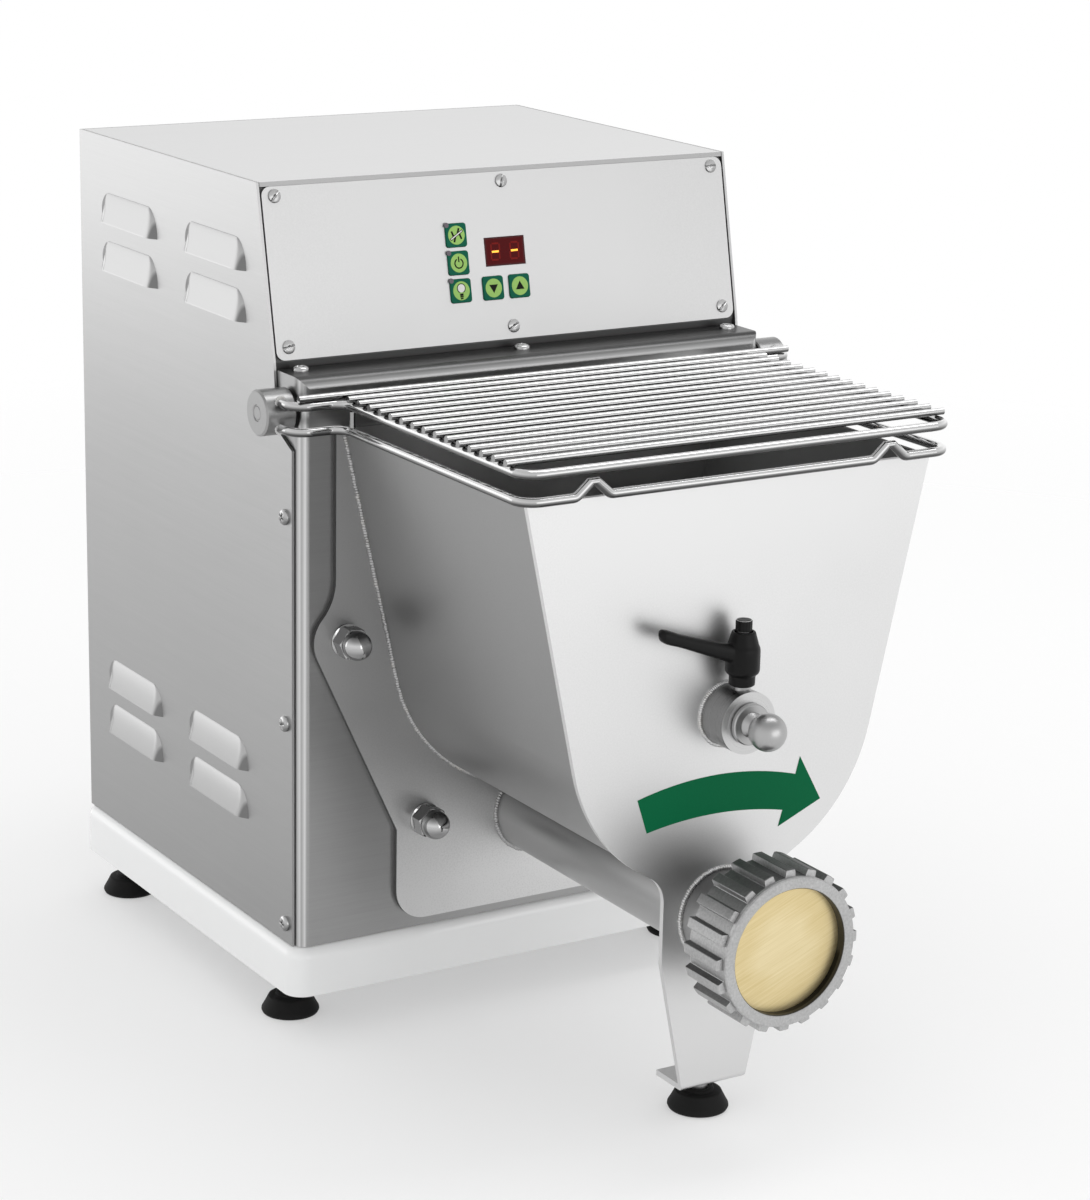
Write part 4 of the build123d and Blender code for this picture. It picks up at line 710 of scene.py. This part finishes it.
def pan_head():
    """Pan-head screw with a cross recess."""
    radius, height = 3.6 * MM, 2.2 * MM
    rings = [(0, -0.2 * MM), (radius, -0.2 * MM), (radius, 0.7 * MM), (0.96 * radius, 1.2 * MM)]
    rings += [(0.86 * radius, 1.65 * MM), (0.66 * radius, 2.0 * MM), (0.36 * radius, 2.16 * MM), (0, height)]
    long, wide, deep = 4.2 * MM, 1.0 * MM, 2.4 * MM
    head = mesh_of(turned_form(rings), "pan_head")
    for slot in ((long, wide, deep), (wide, long, deep)):
        head = cut_away(head, block(bmesh.new(), slot, Matrix.Translation((0, 0, height))))
    return head


def slotted_head():
    """Low round head with one slot."""
    radius, height = 3.0 * MM, 1.0 * MM
    rings = [(0, -0.1 * MM), (radius, -0.1 * MM), (radius, 0.3 * MM), (0.93 * radius, 0.62 * MM)]
    rings += [(0.72 * radius, 0.84 * MM), (0.35 * radius, 0.93 * MM), (0, height)]
    slot = block(bmesh.new(), (7 * MM, 1.0 * MM, 1.5 * MM), Matrix.Translation((0, 0, height)))
    return cut_away(mesh_of(turned_form(rings), "slotted_head"), slot)


def casing_screws():
    """All cross-recess screws of the housing, each turned a little differently."""
    places = []
    turns = (0.3, 1.1, 0.7, 0.15, 0.9, 1.35)
    side_low, side_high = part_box("side_screws")
    depth = (side_low.y + side_high.y) / 2
    for n, height in enumerate(SIDE_SCREW_HEIGHTS):
        for side in (-1, 1):
            place = pointing((side * side_half, depth, height * MM), side * X)
            places.append(place @ spun(turns[(n + side) % 6]))
    depth = middle("front_panel_screws").y
    for n, x in enumerate(FLANGE_SCREWS):
        places.append(Matrix.Translation((x * MM, depth, panel_top)) @ spun(turns[n]))
    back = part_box("rear_panel")[1].y
    for n, (x, z) in enumerate(REAR_SCREWS):
        places.append(pointing((x * MM, back, z * MM), Y) @ spun(turns[n % 6]))
    replaced = ("side_screws", "front_panel_screws", "rear_screws")
    set_out("casing_screws", pan_head(), places, steel_screw, "housing", "steel", *replaced)


def on_fascia(x, up, out=0.0):
    """Matrix of a place on the fascia's face, from millimetres across, up and out."""
    place = fascia_foot + x * MM * X + up * MM * fascia_up + out * MM * fascia_out
    return pointing(place, fascia_out, fascia_up)


def fascia_screws():
    """Slotted screws of the fascia, each turned a little differently."""
    turns = (0.2, 0.9, 0.5, 1.3, 0.75, 0.1)
    places = [on_fascia(x, up) @ spun(turn) for (x, up), turn in zip(FASCIA_SCREWS, turns)]
    set_out("fascia_screw_heads", slotted_head(), places, steel_screw, "housing", "steel", "fascia_screws")


def dome_nuts():
    """Dome nuts: washer, chamfered hexagon and a polished cap."""
    flats = 6.5 * MM
    chamfer = 7.0 * MM

    def hexagon(angle):
        return flats / math.cos((angle + math.pi / 6) % (math.pi / 3) - math.pi / 6)

    def hexagon_top(angle):
        return 8.1 * MM - max(0.0, hexagon(angle) - chamfer) * 0.9

    def hexagon_foot(angle):
        return 1.0 * MM + max(0.0, hexagon(angle) - chamfer) * 0.9

    def shoulder(angle):
        return min(hexagon(angle), chamfer)

    dome, dome_foot, steps = 6.45 * MM, 10.15 * MM, 12
    rings = in_mm([(0, 0.01), (7.2, 0.01), (7.4, 0.2), (7.4, 0.7), (6.9, 0.9)])
    rings += [(shoulder, 1.0 * MM), (hexagon, hexagon_foot), (hexagon, hexagon_top), (shoulder, 8.1 * MM)]
    rings += in_mm([(5.9, 8.25), (6.0, 8.6), (6.45, 8.8)])
    for step in range(steps + 1):
        angle = RIGHT_ANGLE * step / steps
        rings.append((dome * math.cos(angle) if step < steps else 0, dome_foot + dome * math.sin(angle)))
    form = mesh_of(turned_form(rings, 72), "dome_nut", 28)
    turns = (0.4, 0.9, 0.2, 0.6)
    places = [pointing((x * MM, mount_face, z * MM), -Y) @ spun(turn)
              for (x, z), turn in zip(DOME_NUTS, turns)]
    set_out("dome_nut_set", form, places, steel_dome, "housing", "polished_nut", "dome_nuts")


def rubber_feet():
    """Cone feet with a rolled lower edge and a stepped, recessed top."""
    rings = [(0, 0.4), (8.5, 0.4), (9.2, 0.0), (11.6, 0.0), (12.7, 0.4), (FOOT_RADIUS, 1.4), (13.1, 2.2)]
    rings += [(12.4, 3.4), (11.0, 6.0), (10.3, 7.4), (10.0, 8.0), (9.3, 8.4), (8.4, 8.5), (6.9, 8.5)]
    rings += [(6.6, 8.8), (6.5, 9.5), (6.0, 9.9), (4.6, 9.9), (4.2, 9.6), (0, 9.6)]
    form = mesh_of(turned_form(in_mm(rings), 56), "cone_foot", 32)
    low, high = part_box("rubber_feet")
    edge = FOOT_RADIUS * MM
    depths = (panel_face + FRONT_FOOT_DEPTH * MM, high.y - edge)
    spots = [(x, y) for x in (low.x + edge, high.x - edge) for y in depths]
    places = [Matrix.Translation((x, y, 0)) for x, y in spots + [(0, low.y + edge)]]
    set_out("cone_feet", form, places, rubber, "housing", "black_rubber", "rubber_feet")


def louvre_hood():
    """Pressed hood, steep at +X and sloping at the other end: +Z outwards, +Y up from its open edge."""
    length, shoulder, height, taper, sunk = 62.0, 10.0, 13.5, 8.0, 0.15
    rear_slope, rear_corner = math.tan(math.radians(14)), 5.0
    columns, rows = 56, 18
    form = bmesh.new()
    grid = []
    for j in range(rows + 1):
        v = math.sin(RIGHT_ANGLE * j / rows)
        half = length / 2 + 0.6 - shoulder * (1 - math.sqrt(1 - v * v))
        swell = LOUVRE_RISE * (1 - v) ** 0.72 + 0.12
        ramp = max(taper * (1 - v) ** 0.45, 1.2)
        line = []
        for i in range(columns + 1):
            u = math.sin(RIGHT_ANGLE * (2 * i / columns - 1))
            reach = half if u > 0 else half - rear_corner * (1 - v) ** 4
            inset = reach * (1 - abs(u))
            front = swell * math.sin(RIGHT_ANGLE * min(1.0, inset / (0.92 * ramp)))
            rear = min(swell, inset * rear_slope * (1 + 2 * (1 - v) ** 6))
            lift = (front if u > 0 else rear) - sunk
            line.append(form.verts.new((reach * u * MM, (height + 0.3) * v * MM, lift * MM)))
        grid.append(line)
    for low, high in zip(grid, grid[1:]):
        for i in range(columns):
            form.faces.new((low[i], low[i + 1], high[i + 1], high[i]))
    bmesh.ops.solidify(form, geom=form.faces[:], thickness=0.3 * MM)
    return mesh_of(form, "louvre_hood", 50)


def louvres():
    """Louvre hoods in pairs on both side panels."""
    places = []
    for side in (-1, 1):
        for depth in LOUVRE_DEPTHS:
            for bottom in LOUVRE_BOTTOMS:
                place = (side * side_half, panel_face + depth * MM, bottom * MM)
                places.append(pointing(place, side * X))
    set_out("louvre_hoods", louvre_hood(), places, steel_hood, "housing", "stainless_sheet")


def die_ring():
    """Ring nut: square ribs behind a plain front rim, with a turned lip around the die."""
    low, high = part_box("die_ring")
    length = high.y - low.y
    rim, rib, count = 32.2 * MM, 35.0 * MM, 20

    def ribbed(share):
        def radius(angle):
            off_rib = abs((angle * count / (2 * math.pi) + 0.5) % 1 - 0.5) * 2
            flank = min(1.0, max(0.0, (0.52 - off_rib) / 0.14))
            crest = flank * flank * (3 - 2 * flank)
            return rim - 0.2 * MM + (rib - rim + 0.2 * MM) * crest * share
        return radius

    outer = [(ribbed(0.90), 0.0), (ribbed(1.0), 0.5 * MM), (ribbed(1.0), length - 2.5 * MM)]
    outer += [(ribbed(0.92), length - 2.2 * MM), (rim - 0.3 * MM, length - 2.05 * MM)]
    outer += [(rim - 0.1 * MM, length - 1.8 * MM), (rim - 0.1 * MM, length - 0.5 * MM)]
    outer += [(rim - 0.6 * MM, length)]
    inner = [(27.5 * MM, length), (27.1 * MM, length - 0.4 * MM), (RING_HOLE * MM, length - 4.5 * MM)]
    inner += [(28.0 * MM, length - 4.5 * MM), (28.0 * MM, 0.0), (ribbed(0.90), 0.0)]
    mesh = mesh_of(turned_form(outer + inner, 800), "die_ring_nut", 30)
    mesh.transform(pointing((spout.x, high.y, spout.z), -Y))
    dress(link("die_ring_nut", mesh), alloy, "ring", "cast_aluminium", "die_ring")


def hinge_bosses():
    """Chamfered bosses at the guard's pivots, each with a thin cap sunk in over its pin."""
    low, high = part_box("hinge_boss_right")
    length = high.x - low.x
    bore = (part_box("hinge_pins")[1].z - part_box("hinge_pins")[0].z) / 2 + 0.05 * MM
    rings = [(0, length - 0.7 * MM), (bore, length - 0.7 * MM), (bore, 0), (9.4 * MM, 0), (10 * MM, 0.5 * MM)]
    rings += [(10 * MM, length - 0.8 * MM), (9.2 * MM, length), (bore + 0.4 * MM, length)]
    rings += [(bore, length - 0.5 * MM), (bore - 0.3 * MM, length - 0.5 * MM)]
    rings += [(bore - 0.6 * MM, length - 0.2 * MM), (0, length - 0.2 * MM)]
    form = mesh_of(turned_form(rings, 72), "hinge_boss", 30)
    places = [pointing((side * low.x, hinge.y, hinge.z), side * X) for side in (-1, 1)]
    replaced = ("hinge_boss_left", "hinge_boss_right")
    set_out("hinge_bosses", form, places, steel_boss, "lid", "satin_steel", *replaced)


def bearing_pin():
    """Bearing pin with a stepped collar, a waisted stem and a ball knob."""
    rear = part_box("bearing_pin")[1].y
    rings = [(0, 0), (4.5, 0), (5.0, 0.5), (5.0, 12.3), (6.0, 12.3), (6.0, 33.6), (8.4, 33.6), (8.8, 34.0)]
    rings += [(8.8, 35.5), (8.3, 36.0), (5.4, 36.0), (5.2, 36.5), (4.1, 37.6), (3.4, 38.6), (3.4, 39.6)]
    ball, ball_height, neck, steps = 7.9, 46.8, 3.6, 24
    first = math.asin(neck / ball)
    for step in range(steps + 1):
        angle = math.pi - first - (math.pi - first) * step / steps
        rings.append((ball * math.sin(angle) if step < steps else 0, ball_height + ball * math.cos(angle)))
    mesh = mesh_of(turned_form(in_mm(rings), 64), "ball_pin", 30)
    mesh.transform(pointing((shaft.x, rear, shaft.z), -Y))
    dress(link("ball_pin", mesh), steel_pin, "pin", "polished_nut", "bearing_pin")


def lever_arm(form):
    """Put a clamp lever's arm into a bmesh: closed sections from the hub out to a rounded tip."""
    stations, around, thinnest = 22, 20, 0.02
    sections = []
    for n in range(stations + 1):
        t = n / stations
        x = -2.0 - 39.6 * t
        centre = 13.0 + 13.8 * t ** 1.05
        tall = 4.7 - 2.3 * t ** 0.6 + 0.5 * math.exp(-((t - 0.90) / 0.10) ** 2)
        wide = 3.8 - 1.3 * min(1.0, 2.4 * t) + 0.5 * t
        end = max(thinnest, math.sqrt(max(0.0, 1 - max(0.0, (t - 0.93) / 0.07) ** 2)))
        ring = []
        for k in range(around):
            a = 2 * math.pi * k / around
            across = math.copysign(abs(math.cos(a)) ** 0.75, math.cos(a)) * wide * end
            rise = math.copysign(abs(math.sin(a)) ** 0.75, math.sin(a)) * tall * end
            ring.append(form.verts.new((x * MM, across * MM, (centre + rise) * MM)))
        sections.append(ring)
    for one, two in zip(sections, sections[1:]):
        for k in range(around):
            form.faces.new((one[k], one[(k + 1) % around], two[(k + 1) % around], two[k]))
    form.faces.new(sections[0])
    form.faces.new(sections[-1])


def lever_handle():
    """Clamp lever's hub and arm, moulded in one."""
    rings = [(0, 0), (4.9, 0), (5.4, 0.4), (5.5, 4.5), (6.1, 4.9), (6.9, 5.6), (7.2, 6.6), (7.2, 14.9)]
    rings += [(7.0, 16.2), (6.5, 17.2), (5.2, 21.8), (4.9, 22.8), (4.6, 23.0), (3.9, 23.0), (3.9, 16.5)]
    form = turned_form(in_mm(rings + [(0, 16.5)]))
    lever_arm(form)
    thing = link("lever_handle_moulding", mesh_of(form, "lever_handle_moulding", 180))
    remesh = thing.modifiers.new("one_moulding", "REMESH")
    remesh.mode = "VOXEL"
    remesh.voxel_size = 0.38 * MM
    remesh.use_smooth_shade = True
    soften = thing.modifiers.new("soften", "SMOOTH")
    soften.factor = 0.5
    soften.iterations = 5
    made = as_shown(thing)
    thing.modifiers.clear()
    thing.data = made
    stem = middle("lever_stud")
    made.transform(Matrix.Translation((stem.x, stem.y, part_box("lever_handle")[0].z)))
    dress(thing, plastic, "clamp_handle", "black_plastic", "lever_handle")


def lever_button():
    """Ribbed button on the clamp lever's screw."""
    def ribbed(angle):
        return (3.46 - 0.16 * (0.5 + 0.5 * math.cos(16 * angle))) * MM

    rings = [(0, -4.5 * MM), (ribbed, -4.5 * MM), (ribbed, -0.3 * MM)]
    rings += in_mm([(2.9, 0.05), (1.7, 0.06), (1.5, 0.03), (0, 0.03)])
    cap = mesh_of(turned_form(rings, 64), "lever_button", 40)
    stem = middle("lever_stud")
    cap.transform(Matrix.Translation((stem.x, stem.y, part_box("lever_stud")[1].z)))
    dress(link("lever_button", cap), plastic, "clamp_stud", "black_plastic")


def weld_beads():
    """Beads where the boss, the barrel, the trough and the guard's wires meet what carries them."""
    boss_radius, outlet_radius, wire_radius = 13.6 * MM, 20.1 * MM, 2.2 * MM
    boss = circle(Vector((shaft.x, plate_face, shaft.z)), boss_radius)
    outlet = circle(Vector((spout.x, plate_face, spout.z)), outlet_radius)
    rim = Vector((TROUGH_RIM * MM, mount_face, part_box("hopper_shell")[1].z))
    trough, barrel = TROUGH_RADIUS * MM, BARREL_RADIUS * MM
    reach = math.hypot(rim.x, rim.z - shaft.z)
    touch = math.atan2(rim.z - shaft.z, rim.x) - math.acos(trough / reach)
    centre = Vector((0, mount_face, shaft.z))
    seam = circle(centre, trough, start=math.pi - touch, sweep=math.pi + 2 * touch)
    seam = [Vector((-rim.x, mount_face, rim.z))] + seam + [rim]
    drop = shaft.z - spout.z
    clear = math.asin((barrel ** 2 + drop ** 2 - trough ** 2) / (2 * barrel * drop))
    centre = Vector((0, mount_face, spout.z))
    root = circle(centre, barrel + 0.3 * MM, start=math.pi - clear, sweep=math.pi + 2 * clear)
    ends = [Vector((side * GUARD_WIRE_X * MM, hinge.y - 8.3 * MM, hinge.z + rise * MM))
            for side in (-1, 1) for rise in (-5.5, 5.5)]
    wires = [circle(end, wire_radius, steps=20) for end in ends]
    rows = (
        ("boss_bead", [boss], 0.9, 1.1, 3, weld, "housing", "satin_steel"),
        ("barrel_bead", [outlet], 1.1, 1.25, 5, weld, "housing", "satin_steel"),
        ("trough_bead", [seam], 1.2, 1.5, 11, weld_brushed, "housing", "satin_steel"),
        ("barrel_root_bead", [root], 1.2, 1.4, 13, weld_brushed, "housing", "satin_steel"),
        ("hinge_bead", wires, 0.7, 0.75, 7, weld, "lid", "polished_wire"),
    )
    for name, paths, ripple, size, seed, finish, body, slot in rows:
        dress(run_bead(name, paths, ripple * MM, size * MM, seed), finish, body, slot)


def flat_piece(name, outlines, matrix, thickness, finish, body, slot):
    """Thin pieces of film from flat outlines in a plane's own millimetres."""
    form = bmesh.new()
    for outline in outlines:
        face = form.faces.new([form.verts.new((x * MM, y * MM, 0)) for x, y in outline])
        grown = bmesh.ops.extrude_face_region(form, geom=[face])
        bmesh.ops.translate(form, vec=(0, 0, thickness * MM),
                            verts=[v for v in grown["geom"] if isinstance(v, bmesh.types.BMVert)])
    mesh = mesh_of(form, name, 20)
    mesh.transform(matrix)
    dress(link(name, mesh), finish, body, slot)


def round_outline(x, y, radius, steps=40):
    """Outline of a disc."""
    angles = [2 * math.pi * n / steps for n in range(steps)]
    return [(x + radius * math.cos(a), y + radius * math.sin(a)) for a in angles]


def band(x, y, inner, outer, start, sweep, steps=24):
    """Outline of a ring's stretch."""
    angles = [start + sweep * n / steps for n in range(steps + 1)]
    there = [(x + outer * math.cos(a), y + outer * math.sin(a)) for a in angles]
    back = [(x + inner * math.cos(a), y + inner * math.sin(a)) for a in reversed(angles)]
    return there + back


def bar(x, y, length, width, turn=0.0):
    """Outline of a straight bar."""
    c, s = math.cos(turn), math.sin(turn)
    corners = ((-length, -width), (length, -width), (length, width), (-length, width))
    return [(x + (a * c - b * s) / 2, y + (a * s + b * c) / 2) for a, b in corners]


def key_marks():
    """Light discs with plain pictograms on the keys, and the lamps beside three of them."""
    marks = {
        "mix": [bar(0, 0, 7.4, 1.1, 0.55), bar(-1.9, 0.5, 2.8, 0.9, 1.95), bar(-1.0, -1.9, 2.4, 0.9, 1.25),
                bar(1.0, 1.9, 2.4, 0.9, 1.25), bar(1.9, -0.5, 2.8, 0.9, 1.95)],
        "power": [band(0, -0.2, 1.75, 2.35, 2.05, 5.35), bar(0, 1.6, 0.6, 2.5)],
        "extrude": [bar(0, -1.7, 1.7, 1.0), bar(0, -2.6, 1.7, 0.6), bar(0, -3.4, 1.3, 0.6),
                    band(0, 1.1, 1.75, 2.2, -1.1, math.pi + 2.2)],
        "down": [[(-2.2, 1.5), (0, -2.3), (2.2, 1.5)]],
        "up": [[(-2.2, -1.5), (2.2, -1.5), (0, 2.3)]],
    }
    lights = {"mix": bar(0, 0, 6.8, 0.5, 0.55), "extrude": round_outline(0, 1.1, 1.8)}
    disc_film, mark_film, light_film, lamp_film = 0.06, 0.04, 0.03, 0.12
    key_face, lamp_face, lamp_off = 0.8, 0.75, 4.6
    disc, lens = round_outline(0, 0, 4.15), round_outline(0, 0, 1.15)
    for key, (x, up) in KEYS.items():
        face = on_fascia(x, up, key_face)
        raised = face @ Matrix.Translation((0, 0, disc_film * MM))
        rows = [("disc_", [disc], face, disc_film, key_disc)]
        rows.append(("mark_", marks[key], raised, mark_film, key_ink))
        if key in lights:
            above = raised @ Matrix.Translation((0, 0, light_film * MM))
            rows.append(("light_", [lights[key]], above, light_film, key_white))
        if x == KEYS["mix"][0]:
            corner = on_fascia(x - lamp_off, up + lamp_off, lamp_face)
            rows.append(("lamp_", [lens], corner, lamp_film, lamp_grey))
        for kind, outlines, place, film, ink in rows:
            flat_piece(kind + key, outlines, place, film, ink, key + "_key", "button_green")


def display():
    """Two figures behind the red window, each with only its middle stroke lit."""
    face = on_fascia(-1.2, 39.5)
    dim, lit_strokes = [], []
    for side in (-1, 1):
        x = 4.9 * side
        dim += [bar(x + 0.15, 3.6, 3.4, 0.75), bar(x - 0.35, -3.6, 3.4, 0.75)]
        dim += [bar(x + dx + dy * 0.06, dy, 0.75, 2.9) for dx in (-2.1, 2.1) for dy in (1.85, -1.85)]
        lit_strokes.append(bar(x, 0, 3.5, 0.85, 0.02))
    panel, panel_film, dim_film, lit_film = bar(0, 0, 18.7, 11.2), 0.05, 0.04, 0.05
    flat_piece("figure_panels", [panel], face, panel_film, figure_red, "housing", "display_red")
    raised = face @ Matrix.Translation((0, 0, panel_film * MM))
    flat_piece("dim_strokes", dim, raised, dim_film, segment_dim, "housing", "display_red")
    flat_piece("lit_strokes", lit_strokes, raised, lit_film, segment_lit, "housing", "display_red")


def bow(start, end, rise, steps=20):
    """Points from start to end on a shallow curve that rises to the left of its way."""
    (x0, y0), (x1, y1) = start, end
    points = []
    for n in range(steps + 1):
        t = n / steps
        lift = -4 * rise * t * (1 - t) / math.hypot(x1 - x0, y1 - y0)
        points.append((x0 + (x1 - x0) * t + lift * (y1 - y0), y0 + (y1 - y0) * t - lift * (x1 - x0)))
    return points


def turning_arrow():
    """Plain curved arrow that shows which way the mixer turns."""
    top = bow((-43.0, 149.0), (36.0, 148.0), 5.5)
    under = bow((30.0, 133.0), (-38.0, 134.0), -3.6)
    outline = top + [(38.0, 155.5), (49.4, 135.0), (28.0, 126.0)] + under
    face = pointing((0, plate_face, 0), -Y)
    flat_piece("turning_arrow", [outline], face, 0.12, arrow_green, "housing", "satin_steel")


casing_screws()
fascia_screws()
dome_nuts()
rubber_feet()
louvres()
die_ring()
hinge_bosses()
bearing_pin()
lever_handle()
lever_button()
weld_beads()
key_marks()
display()
turning_arrow()


def camera():
    """Camera at the photograph's angle, distance and lens."""
    azimuth, elevation, roll = (math.radians(a) for a in (-31.74, 15.69, 1.21))
    target = Vector((48.39 * MM, panel_face + 69.31 * MM, 166.40 * MM))
    distance = 1552.49 * MM
    sensor, focal_pixels, frame_pixels = 36.0, 3264, 1200
    flat = math.cos(elevation)
    back = Vector((math.sin(azimuth) * flat, -math.cos(azimuth) * flat, math.sin(elevation)))
    level = Vector((math.cos(azimuth), math.sin(azimuth), 0))
    upright = back.cross(level)
    right = math.cos(roll) * level + math.sin(roll) * upright
    up = math.cos(roll) * upright - math.sin(roll) * level
    lens = bpy.data.cameras.new("camera")
    lens.sensor_fit = "VERTICAL"
    lens.sensor_height = sensor
    lens.lens = sensor * focal_pixels / frame_pixels
    lens.clip_end = 50.0
    eye = bpy.data.objects.new("camera", lens)
    stance = Matrix((right, up, back)).transposed().to_4x4()
    eye.matrix_world = Matrix.Translation(target + distance * back) @ stance
    bpy.context.scene.collection.objects.link(eye)
    bpy.context.scene.camera = eye


def lamp(name, place, aim, size, power):
    """Soft rectangular lamp that the camera doesn't see."""
    data = bpy.data.lights.new(name, "AREA")
    data.shape = "RECTANGLE"
    data.size, data.size_y = size
    data.energy = power
    thing = bpy.data.objects.new(name, data)
    thing.matrix_world = pointing(Vector(place), Vector(place) - Vector(aim))
    thing.visible_camera = False
    bpy.context.scene.collection.objects.link(thing)


SEEN_RAYS = ("Is Camera Ray", "Is Glossy Ray", "Is Transmission Ray")


def studio():
    """White floor and surroundings with soft lamps above, in front and behind at the left."""
    form = bmesh.new()
    bmesh.ops.create_grid(form, x_segments=1, y_segments=1, size=6.0)
    floor = link("floor", mesh_of(form, "floor"))
    floor.location.z = -0.1 * MM
    ground = Finish("floor_white", {"Roughness": 0.9, "Specular IOR Level": 0.1})
    cloud = ground.noise(ground.place(), 2.0, 2.0)
    ground.set(Base_Color=ground.blend(cloud, grey(0.90), grey(0.92)))
    x, y, _ = ground.across(ground.place())
    far = ground.ramp((x * x + y * y) ** 0.5 / 2.0, (0.25, 0.0), (0.70, 1.0))
    rays = [ground.node("ShaderNodeLightPath", {}, {}, out=ray) for ray in SEEN_RAYS]
    pale = ground.node("ShaderNodeEmission", {}, {"Color": (1, 1, 1)})
    lit_floor = Shade(ground, ground.shader.outputs[0])
    near = ground.node("ShaderNodeMixShader", {}, {0: 0.4 * sum(rays), 1: lit_floor, 2: pale})
    clear = ground.node("ShaderNodeBsdfTransparent", {}, {})
    faded = ground.node("ShaderNodeMixShader", {}, {0: far, 1: near, 2: clear})
    ground.feed(ground.tree.nodes["Material Output"].inputs[0], faded)
    floor.data.materials.append(ground.material)
    world = bpy.data.worlds.new("surroundings")
    bpy.context.scene.world = world
    world.use_nodes = True
    around = NodeWriter(world.node_tree)
    world.node_tree.nodes.clear()
    rays = [around.node("ShaderNodeLightPath", {}, {}, out=ray) for ray in SEEN_RAYS]
    height = around.across(around.node("ShaderNodeTexCoord", {}, {}, out="Generated"))[2]
    shown = around.ramp(height, (0.30, 1.0), (0.80, 0.58))
    sky = around.node("ShaderNodeBackground", {}, {"Color": shown, "Strength": 1.0})
    fill = around.node("ShaderNodeBackground", {}, {"Color": (1, 1, 1), "Strength": 0.92})
    mixed = around.node("ShaderNodeMixShader", {}, {0: sum(rays), 1: fill, 2: sky})
    around.node("ShaderNodeOutputWorld", {}, {0: mixed}, out=None)
    lamp("overhead", (0.45, -0.1, 1.6), (0, 0, 0.2), (0.45, 1.2), 4.5)
    lamp("front", (0.45, -1.75, 0.38), (0, -0.1, 0.2), (1.5, 0.9), 4.2)
    lamp("left_back", (-1.3, 1.75, 0.42), (0, 0, 0.2), (1.8, 1.0), 5)


camera()
studio()
bpy.context.scene.view_settings.view_transform = "Standard"
